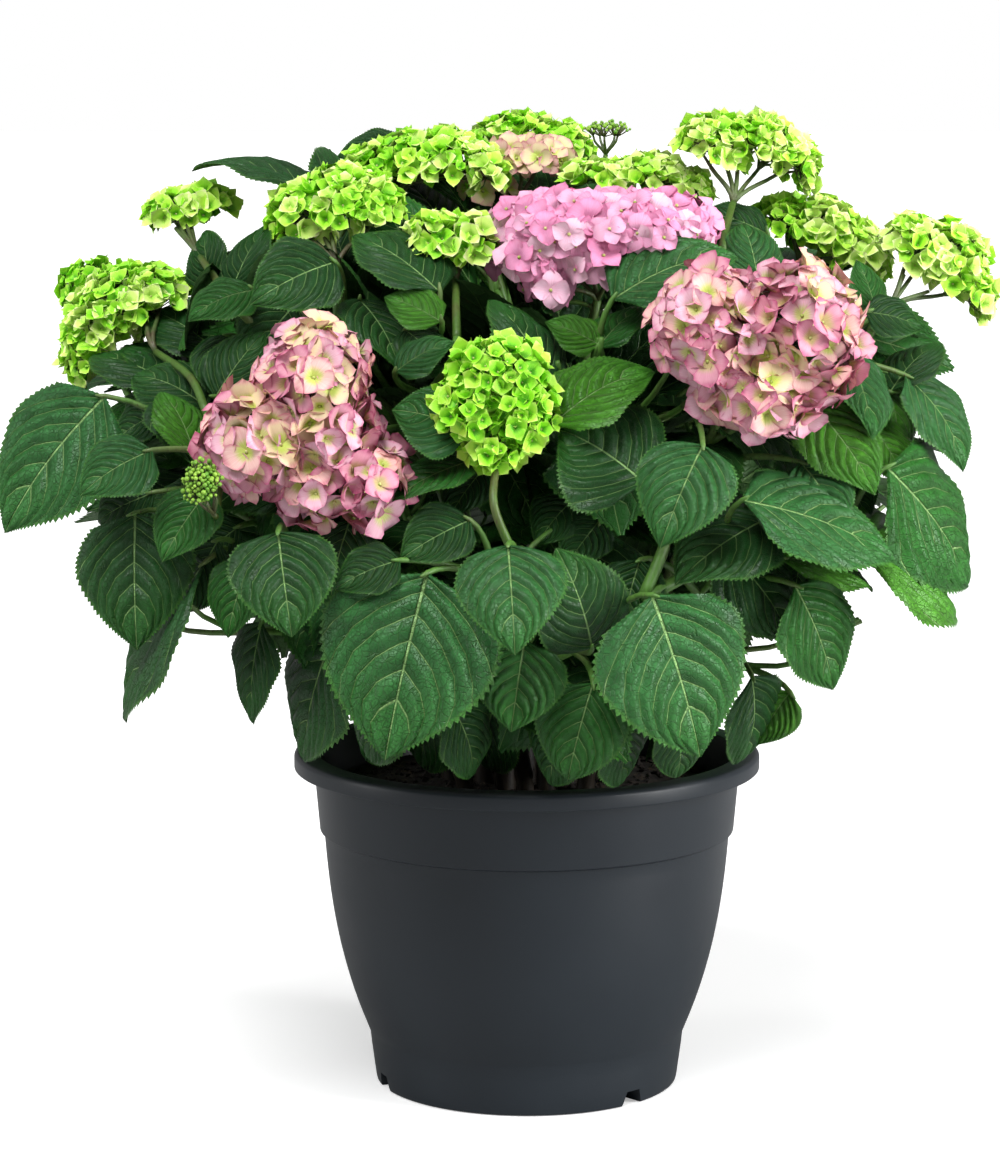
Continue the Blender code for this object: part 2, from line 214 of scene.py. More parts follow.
def grain_of(tree, place, scale, detail):
    """A cloudy grain, from 0 to 1, at so many grains to the metre."""
    return put(tree, "TexNoise", {"Vector": place, "Scale": scale, "Detail": detail}).outputs[0]


def colours(tree, value, stops):
    """A run of colours along a value: (place, (r, g, b)) pairs."""
    ramp = put(tree, "ValToRGB", {0: value})
    ramp.color_ramp.elements[0].position = stops[0][0]
    ramp.color_ramp.elements[0].color = (*stops[0][1], 1)
    ramp.color_ramp.elements[1].position = stops[-1][0]
    ramp.color_ramp.elements[1].color = (*stops[-1][1], 1)
    for place, colour in stops[1:-1]:
        ramp.color_ramp.elements.new(place).color = (*colour, 1)
    return ramp.outputs[0]


def start_material(name, roughness):
    material = bpy.data.materials.new(name)
    material.use_nodes = True
    tree = material.node_tree
    shader = tree.nodes["Principled BSDF"]
    shader.inputs["Roughness"].default_value = roughness
    return material, tree, shader


def feed(tree, shader, **sockets):
    names = {"colour": "Base Color", "roughness": "Roughness", "normal": "Normal"}
    for name, socket in sockets.items():
        tree.links.new(socket, shader.inputs[names[name]])


def bump(tree, height, strength, distance):
    wires = {"Height": height, "Strength": strength, "Distance": distance}
    return put(tree, "Bump", wires).outputs[0]


def pot_plastic():
    """Satin slate plastic: a fine moulded grain, faint flow clouds, a painted highlight in patches on the
    rim's top.
    """
    material, tree, shader = start_material("slate_plastic", 0.42)
    shader.inputs["Specular IOR Level"].default_value = 0.42
    place = put(tree, "TexCoord").outputs["Object"]
    height = put(tree, "SeparateXYZ", {0: place}).outputs[2]
    clouds = grain_of(tree, place, 9.0, 4.0)
    grain = grain_of(tree, place, 900.0, 2.0)
    base = colours(tree, clouds, ((0.30, (0.0088, 0.0135, 0.0190)), (0.72, (0.0120, 0.0180, 0.0245))))
    # Painted highlight: the rim's top is painted a paler grey in patches, standing in for light caught there.
    on_rim = spread(tree, height, RIM_HIGHLIGHT_LOW, RIM_HIGHLIGHT_HIGH)
    rim_highlight = sum_up(tree, "MULTIPLY", on_rim, spread(tree, clouds, 0.4, 0.7))
    shown = blend_colour(tree, sum_up(tree, "MULTIPLY", rim_highlight, 0.5), base, (0.085, 0.088, 0.090, 1))
    rough = spread(tree, clouds, 0.25, 0.8, 0.36, 0.50)
    feed(tree, shader, colour=shown, roughness=rough, normal=bump(tree, grain, 0.10, 0.0004))
    return material


pot = turn("pot_moulding", pot_rows(), POT_STEPS)
for notch_turn in NOTCH_TURNS:
    notch_angle = math.radians(notch_turn)
    bpy.ops.mesh.primitive_cube_add(size=1.0)
    notch = bpy.context.object
    for corner in notch.data.vertices:
        high = corner.co.z > 0
        corner.co.x = NOTCH_INNER if corner.co.x < 0 else FOOT_RADIUS + 0.010
        corner.co.y *= NOTCH_TOP_WIDTH if high else NOTCH_FOOT_WIDTH
        corner.co.z = NOTCH_HEIGHT if high else -0.001
    notch.rotation_euler.z = notch_angle
    cut_away(pot, notch)
    reach = NOTCH_INNER + 0.009
    hole_at = (reach * math.cos(notch_angle), reach * math.sin(notch_angle), POT_FLOOR)
    bpy.ops.mesh.primitive_cylinder_add(
        radius=DRAIN_RADIUS, depth=2 * POT_FLOOR, vertices=24, location=hole_at)
    cut_away(pot, bpy.context.object)
pot.data.materials.clear()
pot.data.materials.append(pot_plastic())
shade(pot, 34)
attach(pot, "root")
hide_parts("pot")


# ---- The compost --------------------------------------------------------------------------
# Moist bark and peat compost, poured in round the root ball and settled a finger's breadth
# below the rim. Its surface is crumbly, with fibres and small chips of bark lying on it.
COMPOST_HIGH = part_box("compost")[1]
COMPOST_EDGE = COMPOST_HIGH.x - 0.0008
COMPOST_TOP = COMPOST_HIGH.z
COMPOST_DOME = 0.004                         # how much lower it lies at the edge
COMPOST_LUMPS = 0.0022                       # height of the lumps in its surface
CRUMBS = 900


def mesh_piece(name, points, faces, material, maps=None, smooth=True):
    """A joined mesh from arrays, with a UV pair for each vertex in each named map."""
    mesh = bpy.data.meshes.new(name)
    mesh.from_pydata(np.asarray(points).tolist(), [], faces)
    corners = np.empty(len(mesh.loops), dtype=np.int32)
    mesh.loops.foreach_get("vertex_index", corners)
    for map_name, pairs in (maps or {}).items():
        layer = mesh.uv_layers.new(name=map_name)
        layer.data.foreach_set("uv", np.asarray(pairs, dtype=np.float32)[corners].ravel())
    if smooth:
        mesh.shade_smooth()
    mesh.materials.append(material)
    item = bpy.data.objects.new(name, mesh)
    bpy.context.scene.collection.objects.link(item)
    return item


def compost_stuff():
    material, tree, shader = start_material("moist_compost", 0.9)
    place = put(tree, "TexCoord").outputs["Object"]
    lumps = grain_of(tree, place, 130.0, 6.0)
    flecks = put(tree, "TexVoronoi", {"Vector": place, "Scale": 260.0}).outputs["Color"]
    pick = put(tree, "SeparateXYZ", {0: flecks}).outputs[0]
    dark = colours(tree, lumps, ((0.3, (0.006, 0.004, 0.003)), (0.7, (0.022, 0.015, 0.010))))
    shown = blend_colour(tree, spread(tree, pick, 0.86, 0.95), dark, (0.060, 0.042, 0.024, 1))
    feed(tree, shader, colour=shown, normal=bump(tree, lumps, 0.7, 0.002))
    return material


def compost_rows():
    rows = [(POLE_RADIUS, COMPOST_TOP)]
    for share in np.linspace(0.06, 1.0, 22):
        rows.append((COMPOST_EDGE * share, COMPOST_TOP - COMPOST_DOME * share ** 4))
    rows += [(body_radius(z) - POT_WALL - 0.0010, z) for z in (0.160, 0.110, 0.070, 0.036, 0.022)]
    rows += [(body_radius(0.02) - 0.0080, POT_FLOOR + 0.0003), (POLE_RADIUS, POT_FLOOR + 0.0003)]
    return rows


def crumbs(rng):
    """Chips and crumbs of bark: small irregular four-cornered lumps half sunk in the top."""
    points, faces = [], []
    for _ in range(CRUMBS):
        radius = COMPOST_EDGE * 0.97 * math.sqrt(rng.random())
        angle = rng.random() * math.tau
        size = rng.uniform(0.0010, 0.0032)
        centre = Vector((radius * math.cos(angle), radius * math.sin(angle), COMPOST_TOP - 0.0010))
        centre.z -= COMPOST_DOME * (radius / COMPOST_EDGE) ** 4
        spin = rng.random() * math.tau
        along = Vector((math.cos(spin), math.sin(spin), rng.uniform(-0.4, 0.4)))
        along = along * size * rng.uniform(1.0, 2.6)
        across = Vector((-math.sin(spin), math.cos(spin), rng.uniform(-0.3, 0.3))) * size
        tall = Vector((0, 0, size * rng.uniform(0.5, 1.0)))
        first = len(points)
        points += [centre + along, centre + across, centre - along, centre - across]
        points += [centre + tall, centre - tall]
        for one, two in ((0, 1), (1, 2), (2, 3), (3, 0)):
            faces.append((first + one, first + two, first + 4))
            faces.append((first + two, first + one, first + 5))
    return points, faces


compost_material = compost_stuff()
compost = turn("compost_bed", compost_rows(), 96)
for vertex in compost.data.vertices:
    if vertex.co.z > COMPOST_TOP - 0.0045:
        rough_at = vertex.co * 90
        inward = min(1.0, (COMPOST_EDGE - math.hypot(vertex.co.x, vertex.co.y)) / 0.004)
        lump = noise.noise(rough_at) + 0.5 * noise.noise(rough_at * 2.3) - 0.6
        vertex.co.z += COMPOST_LUMPS * lump * max(0, inward)
compost.data.materials.clear()
compost.data.materials.append(compost_material)
compost.data.shade_smooth()
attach(compost, "root")
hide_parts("compost")
crumb_points, crumb_faces = crumbs(random.Random(5))
bark = mesh_piece("bark_crumbs", crumb_points, crumb_faces, compost_material, smooth=False)
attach(bark, "root")


# ---- The canes ----------------------------------------------------------------------------
# Upright canes, green turning woody, rise from the crown in the compost and fan outwards; near their feet
# they are painted near-black bark, partly painted shade.
# Each is a little swollen at its joints and freckled with brown breathing pores.
MASSES = (
    "skirt_front", "skirt_front_right", "skirt_right", "skirt_back_right", "skirt_back_left",
    "skirt_left", "skirt_front_left", "shoulder_front_left", "shoulder_front_right",
    "shoulder_right", "shoulder_back_right", "shoulder_back_left", "shoulder_left", "top",
)
CANE_SIDES = 12
CANE_RING = 6            # corners round each ring of a cane or stalk in the frame
JOINT_SPACING = 0.038    # between the swollen joints along a cane
JOINT_SWELLING = 0.16    # how much thicker it is there
CANE_THINNING = 0.60     # how much thinner at its tip
THINS_FROM, THINS_OVER = 0.45, 0.55          # where along it that starts, and over what share
WOODY_SHADED_BELOW, GREEN_ABOVE = 0.255, 0.345      # heights between which the dark bark, woody and partly painted shade, gives way to skin


def centre_line(node_name):
    """The middle of each ring of a cane or stalk in the frame, from the foot up, and the radii."""
    corners = {tuple(round(value, 5) for value in v.co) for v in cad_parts[node_name].data.vertices}
    ordered = [Vector(corner) for corner in sorted(corners, key=lambda corner: corner[2])]
    middles, radii = [], []
    for first in range(0, len(ordered), CANE_RING):
        ring = ordered[first:first + CANE_RING]
        middle = sum(ring, Vector()) / len(ring)
        middles.append(middle)
        radii.append(sum((corner - middle).length for corner in ring) / len(ring))
    return middles, radii


def smooth_line(knots, steps):
    """An even curve through the knots, with a number of steps from one knot to the next."""
    knots = [Vector(knot) for knot in knots]
    padded = [knots[0] * 2 - knots[1], *knots, knots[-1] * 2 - knots[-2]]
    line = []
    for before, start, end, after in zip(padded, padded[1:], padded[2:], padded[3:]):
        for step in range(steps):
            t = step / steps
            line.append(0.5 * (2 * start + (end - before) * t
                               + (2 * before - 5 * start + 4 * end - after) * t ** 2
                               + (3 * start - before - 3 * end + after) * t ** 3))
    line.append(knots[-1])
    return line


def arching(start, start_way, end, end_way, steps):
    """A curve that leaves one point in one direction and reaches another in its own."""
    reach = (end - start).length / 3
    one, two = start + start_way * reach, end - end_way * reach
    line = []
    for step in range(steps + 1):
        t = step / steps
        line.append(start * (1 - t) ** 3 + one * 3 * t * (1 - t) ** 2
                    + two * 3 * t * t * (1 - t) + end * t ** 3)
    return line


def taper(line, start, end):
    """A radius for each point of a line, from one end to the other."""
    return [start + (end - start) * place / (len(line) - 1) for place in range(len(line))]


class Bundle:
    """Many round stems, each closed at both ends, gathered into one mesh."""

    def __init__(self):
        self.points, self.faces = [], []

    def add(self, line, radii, sides):
        way = (line[1] - line[0]).normalized()
        side = way.orthogonal().normalized()
        first = len(self.points)
        for place, middle in enumerate(line):
            ahead = line[min(place + 1, len(line) - 1)] - line[max(place - 1, 0)]
            ahead.normalize()
            side = (side - ahead * side.dot(ahead)).normalized()
            other = ahead.cross(side)
            for step in range(sides):
                angle = math.tau * step / sides
                off_middle = (side * math.cos(angle) + other * math.sin(angle)) * radii[place]
                self.points.append(middle + off_middle)
        for row in range(len(line) - 1):
            for step in range(sides):
                here, beside = first + row * sides + step, first + row * sides + (step + 1) % sides
                self.faces.append((here, beside, beside + sides, here + sides))
        last = first + (len(line) - 1) * sides
        self.faces.append(tuple(range(first + sides - 1, first - 1, -1)))
        self.faces.append(tuple(range(last, last + sides)))

    def add_tapered(self, line, start, end, sides):
        self.add(line, taper(line, start, end), sides)

    def piece(self, name, material):
        return mesh_piece(name, self.points, self.faces, material)


def start_group(name, given, sent):
    """A shader node group with named sockets, each given as its name and kind."""
    group = bpy.data.node_groups.new(name, "ShaderNodeTree")
    for side, sockets in (("INPUT", given), ("OUTPUT", sent)):
        for socket, kind in sockets.items():
            group.interface.new_socket(socket, in_out=side, socket_type="NodeSocket" + kind)
    entry = group.nodes.new("NodeGroupInput")
    leaving = group.nodes.new("NodeGroupOutput")
    return group, entry.outputs, leaving.inputs


def stem_group():
    """Green skin streaked and freckled with brown, that turns between two heights to near-black bark: woody,
    and partly painted shade low in the crown.
    """
    group, given, sent = start_group(
        "stem_growth",
        {"Young": "Color", "Old": "Color", "Woody Shaded Below": "Float", "Green Above": "Float"},
        {"Colour": "Color", "Streaks": "Float"})
    place = put(group, "TexCoord").outputs["Object"]
    long_way = put(group, "Mapping", {0: place, 3: (1.0, 1.0, 0.16)}).outputs[0]
    streaks = grain_of(group, long_way, 420.0, 3.0)
    patches = grain_of(group, place, 34.0, 3.0)
    freckles = put(group, "TexVoronoi", {"Vector": long_way, "Scale": 520.0}).outputs["Distance"]
    base = blend_colour(group, spread(group, patches, 0.42, 0.66), given["Young"], given["Old"])
    lines = colours(group, streaks, ((0.3, (0.3,) * 3), (0.7, (0.75,) * 3)))
    lined = blend_colour(group, 0.5, base, lines, "OVERLAY")
    spots = sum_up(group, "MULTIPLY", spread(group, freckles, 0.24, 0.12), spread(group, patches, 0.40, 0.55))
    shown = blend_colour(group, spots, lined, (0.060, 0.026, 0.018, 1))
    height = put(group, "SeparateXYZ", {0: place}).outputs[2]
    # Near-black bark at the canes' feet: woody, and partly painted shade under the crown.
    shaded_bark = colours(group, streaks, ((0.35, (0.012, 0.009, 0.006)), (0.7, (0.034, 0.025, 0.015))))
    woody_and_shaded = spread(group, height, given["Green Above"], given["Woody Shaded Below"])
    group.links.new(blend_colour(group, woody_and_shaded, shown, shaded_bark), sent["Colour"])
    group.links.new(streaks, sent["Streaks"])
    return group


def stem_skin(name, young, old, woody_shaded_below=0.0, green_above=0.001):
    """The skin of one kind of stem, in its own greens."""
    material, tree, shader = start_material(name, 0.5)
    wires = {"Young": (*young, 1), "Old": (*old, 1), "Woody Shaded Below": woody_shaded_below, "Green Above": green_above}
    growth = put(tree, "Group", wires, node_tree=stem_growth).outputs
    feed(tree, shader, colour=growth["Colour"], normal=bump(tree, growth["Streaks"], 0.35, 0.0006))
    return material


cane_bundle = Bundle()
cane_lines = {}
for mass_name in MASSES:
    knots, knot_radii = centre_line("cane_" + mass_name)
    line = smooth_line(knots, 6)
    cane_lines[mass_name] = line
    travelled, cane_radii = 0.0, []
    for place, middle in enumerate(line):
        travelled += (middle - line[max(place - 1, 0)]).length
        plain = np.interp(place / (len(line) - 1), np.linspace(0, 1, len(knot_radii)), knot_radii)
        off_joint = abs(travelled / JOINT_SPACING % 1 - 0.5)
        swelling = JOINT_SWELLING * math.exp(-((0.5 - off_joint) / 0.10) ** 2)
        ribs = 0.05 * noise.noise(middle * 60)
        past = max(0.0, place / (len(line) - 1) - THINS_FROM)
        thinned = 1 - CANE_THINNING * past / THINS_OVER
        cane_radii.append(plain * (1.04 + swelling + ribs) * thinned)
    cane_bundle.add(line, cane_radii, CANE_SIDES)
stem_growth = stem_group()
canes = cane_bundle.piece("canes", stem_skin(
    "cane_skin", (0.052, 0.105, 0.024), (0.066, 0.058, 0.028), WOODY_SHADED_BELOW, GREEN_ABOVE))
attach(canes, "root")
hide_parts(*("cane_" + mass_name for mass_name in MASSES))


# ---- The shoots ---------------------------------------------------------------------------
# This year's soft green growth: each cane forks at its tip, one shoot runs up to every flower
# head that it carries, and blind shoots fill the rest of its mass. Leaves sit on them in pairs.
HEADS = {
    # name: the cane that bears it
    "front_left": "skirt_front_left", "front_right": "skirt_front_right",
    "upper_pink": "shoulder_front_right", "upper_blush": "top", "front_middle": "skirt_front",
    "upper_middle": "shoulder_front_left", "far_left": "skirt_left", "rear_left": "skirt_left",
    "left": "shoulder_left", "upper_left": "shoulder_left", "top_left": "top",
    "top_back": "shoulder_back_right", "top_middle": "top", "top_right": "shoulder_right",
    "right": "shoulder_right", "far_right": "shoulder_right", "back_left": "shoulder_back_left",
    "back_middle": "shoulder_back_right", "back_right": "skirt_back_right",
}
STALKED = (
    "front_middle", "upper_middle", "far_left", "rear_left", "left", "upper_left", "top_left",
    "top_back", "top_middle", "top_right", "far_right",
)
EYE = Vector((-0.0184, -2.485, 0.706))    # where the camera stands
EYE_DOWN = 0.14421                        # how far it looks down, in radians
EYE_REACH = 3669.7                        # focal length, in image points
IMAGE_WIDTH, IMAGE_HEIGHT = 1000, 1168
UP = Vector((0, 0, 1))
# Where the stalk of an open head comes into sight and where it forks into rays: image points,
# and the depth of each.
FORKS = {
    "top_right": ((722, 250, -0.105), (727, 225, -0.075), (733, 203, -0.035)),
    "far_right": ((870, 334, -0.110), (877, 318, -0.085), (889, 307, -0.055)),
    "top_left": ((425, 262, -0.045), (423, 245, -0.030), (420, 228, -0.015)),
    "upper_left": ((337, 296, -0.130), (338, 280, -0.115), (338, 266, -0.098)),
    "left": ((223, 291, -0.125), (212, 274, -0.080), (200, 257, -0.020)),
    "far_left": ((207, 414, -0.182), (190, 377, -0.150), (156, 352, -0.090)),
    "upper_middle": ((457, 338, -0.175), (456, 310, -0.155), (456, 281, -0.125)),
    "front_middle": ((512, 552, -0.258), (494, 506, -0.262), (496, 466, -0.240)),
}
# The two shoots that meet in sight below the head at the right: image points and depths.
SEEN_FORK = (
    ((676, 505, -0.195), (664, 548, -0.234), (643, 598, -0.246)),
    ((712, 560, -0.195), (682, 578, -0.230), (643, 598, -0.246)),
)
HEART = Vector((-0.020, 0.000, 0.360))    # middle of the crown, which everything grows away from
BLIND_SHOOTS = 7                          # from each cane, besides those that flower
FURTHEST_SHOOT = -0.225                   # how far forward one comes, behind the front leaves
FLOWER_SHOOT = (0.0036, 0.0028)           # radii of a shoot at its foot and at its tip
BLIND_SHOOT = (0.0030, 0.0016)
FORK_SHOOT = (0.0034, 0.0040)
LOWEST_FORK = 0.6                         # share of a cane below which no blind shoot leaves it

grow = random.Random(41)


def on_image(place):
    """Where a point of the scene falls in the image."""
    right, ahead, up = place.x - EYE.x, place.y - EYE.y, place.z - EYE.z
    depth = ahead * math.cos(EYE_DOWN) - up * math.sin(EYE_DOWN)
    rise = ahead * math.sin(EYE_DOWN) + up * math.cos(EYE_DOWN)
    return IMAGE_WIDTH / 2 + EYE_REACH * right / depth, IMAGE_HEIGHT / 2 - EYE_REACH * rise / depth


def off_image(across, down, y):
    """The point of the scene that shows at that place of the image, in the plane at that y."""
    ahead = y - EYE.y
    fall = (down - IMAGE_HEIGHT / 2) / EYE_REACH
    up = -fall * ahead * math.cos(EYE_DOWN) - ahead * math.sin(EYE_DOWN)
    up /= math.cos(EYE_DOWN) - fall * math.sin(EYE_DOWN)
    depth = ahead * math.cos(EYE_DOWN) - up * math.sin(EYE_DOWN)
    return Vector((EYE.x + (across - IMAGE_WIDTH / 2) / EYE_REACH * depth, y, EYE.z + up))


def middle_and_half(node_name):
    low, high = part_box(node_name)
    return (low + high) / 2, (high - low) / 2


def head_axis(name):
    """The way a flower head faces: outwards from the crown, and a little up."""
    middle, _ = middle_and_half("head_" + name)
    away = (middle - HEART).normalized()
    return (away + UP * 0.35).normalized()


def stretched(way, half):
    """A direction drawn out to the surface of an egg with those half sizes."""
    return Vector(a * b for a, b in zip(way, half))


def nearest(spots, place):
    """The spot that lies nearest to a place."""
    return min(spots, key=lambda spot: (spot - place).length)


def stalk_knots(head_name):
    """The middle line of a stalk in the frame, from its foot up to its head."""
    head_middle = middle_and_half("head_" + head_name)[0]
    knots = centre_line("stalk_" + head_name)[0]
    if (knots[0] - head_middle).length < (knots[-1] - head_middle).length:
        knots.reverse()
    return knots


def even_points(count):
    """Directions spread evenly over a sphere."""
    ways = []
    for place in range(count):
        height = 1 - 2 * (place + 0.5) / count
        turn_by = place * math.pi * (3 - math.sqrt(5))
        level = math.sqrt(1 - height * height)
        ways.append(Vector((level * math.cos(turn_by), level * math.sin(turn_by), height)))
    return ways


def fork_of(cane, joins):
    """The place on the upper half of a cane that best points to where a shoot has to go."""
    def straightness(place):
        towards = (joins - cane[place]).normalized()
        onwards = (cane[place] - cane[place - 1]).normalized()
        return towards.dot(onwards) - (len(cane) - place) * 0.01
    return max(range(len(cane) // 2, len(cane)), key=straightness)


shoot_bundle = Bundle()
shoots = []          # (line, mass name, whether it flowers)
shoot_tops = {}      # where the shoot of each head ends
for head_name, mass_name in HEADS.items():
    cane = cane_lines[mass_name]
    head_middle, head_half = middle_and_half("head_" + head_name)
    axis = head_axis(head_name)
    if head_name in FORKS:
        joins, bends = (off_image(*spot) for spot in FORKS[head_name][:2])
        joins_way = (bends - joins).normalized()
    elif head_name in STALKED:
        knots = stalk_knots(head_name)
        joins, joins_way = knots[0], (knots[1] - knots[0]).normalized()
    else:
        joins = head_middle - axis * min(head_half) * 0.9
        joins_way = axis
    place = fork_of(cane, joins)
    fork_way = (cane[place] - cane[place - 1]).normalized()
    line = arching(cane[place], fork_way, joins, joins_way, 12)
    shoot_bundle.add_tapered(line, *FLOWER_SHOOT, 8)
    shoots.append((line, mass_name, True))
    shoot_tops[head_name] = joins
for mass_name in MASSES:
    cane = cane_lines[mass_name]
    mass_middle, mass_half = middle_and_half(mass_name)
    away = (mass_middle - HEART).normalized()
    aims = [way for way in even_points(4 * BLIND_SHOOTS) if way.dot(away) > -0.25]
    grow.shuffle(aims)
    for way in aims[:BLIND_SHOOTS]:
        aim = mass_middle + stretched(way, mass_half) * grow.uniform(0.55, 0.75)
        aim.y = max(aim.y, FURTHEST_SHOOT)
        place = grow.randrange(int(len(cane) * LOWEST_FORK), len(cane))
        fork_way = (cane[place] - cane[place - 1]).normalized()
        end_way = ((aim - cane[place]).normalized() + UP * 0.5).normalized()
        line = arching(cane[place], fork_way, aim, end_way, 10)
        shoot_bundle.add_tapered(line, *BLIND_SHOOT, 7)
        shoots.append((line, mass_name, False))
for spots in SEEN_FORK:
    knots = [off_image(*spot) for spot in spots]
    start = nearest((spot for shoot in shoots for spot in shoot[0]), knots[0])
    line = smooth_line([start] + knots, 4)
    shoot_bundle.add_tapered(line, *FORK_SHOOT, 9)
shoot_material = stem_skin("shoot_skin", (0.080, 0.200, 0.030), (0.105, 0.165, 0.045))
shoot_piece = shoot_bundle.piece("shoots", shoot_material)
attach(shoot_piece, "root")


# ---- The leaves ---------------------------------------------------------------------------
# Broad toothed leaves in opposite pairs on grooved stalks: leathery, quilted between sunken
# pale veins, darker above than below. The big outer ones hang over the pot like shingles.
SECONDARIES = 7                              # spaces between side veins, base to tip
MIDRIB_STARTS = (0.0, 0.02, 0.10, 0.22, 0.36, 0.51, 0.67, 1.0)
MARGIN_ENDS = (0.0, 0.44, 0.61, 0.735, 0.83, 0.905, 0.96, 1.0)
OUTLINE = (                                  # share of the length, and of the greatest width
    (0, 0), (0.02, 0.24), (0.05, 0.45), (0.10, 0.68), (0.17, 0.86), (0.25, 0.96), (0.34, 1.0),
    (0.43, 0.985), (0.52, 0.92), (0.61, 0.82), (0.70, 0.68), (0.78, 0.52), (0.85, 0.36),
    (0.91, 0.21), (0.96, 0.09), (1, 0),
)
TOOTH = 0.026                                # height of a tooth on a leaf of length 1
TILE_SHARE = 0.90                            # how much of its square of the map a shape takes
DEEP_SHADED, MID, BLUISH, FRESH = 0, 1, 2, 3        # the four leaf greens; the deep one is partly painted shade, given to leaves that lie in shade
LEAF_GREENS = (
    (0.0100, 0.0640, 0.0115), (0.0210, 0.1340, 0.0165), (0.0250, 0.1300, 0.0290),
    (0.0640, 0.2500, 0.0145),
)
STALK_OF_FRONT_LEAF = 0.0025                 # radii of the leaf stalks
STALK_OF_LEAF = 0.0017
PAIR_SPACING = 0.032                         # between one pair of leaves and the next
CANE_PAIR_SPACING = 0.024
LOWEST_CANE_LEAF = 0.248
LOWEST_LEAF = 0.150
CLEARANCE = 0.012                            # room kept to the pot, and past the whole's box
LARGEST_BLIND, LARGEST_BELOW_HEAD = 0.132, 0.130
GAP_STEP = 0.012                             # how closely the crown is searched for gaps
GAP_CLOSED = 0.032                           # how far round it a new leaf closes one
GAP_STALK = 0.11                             # the longest stalk of a leaf that closes a gap
# The crown's shape: its depth in front and its reach to each side at a row of heights.
CROWN_LEVELS = (0.20, 0.27, 0.33, 0.40, 0.46, 0.52, 0.58, 0.63, 0.67, 0.70)
CROWN_DEPTHS = (0.20, 0.250, 0.285, 0.290, 0.250, 0.200, 0.145, 0.085, 0.04, 0.02)
CROWN_REACHES = (0.24, 0.30, 0.325, 0.345, 0.345, 0.335, 0.31, 0.27, 0.22, 0.18)

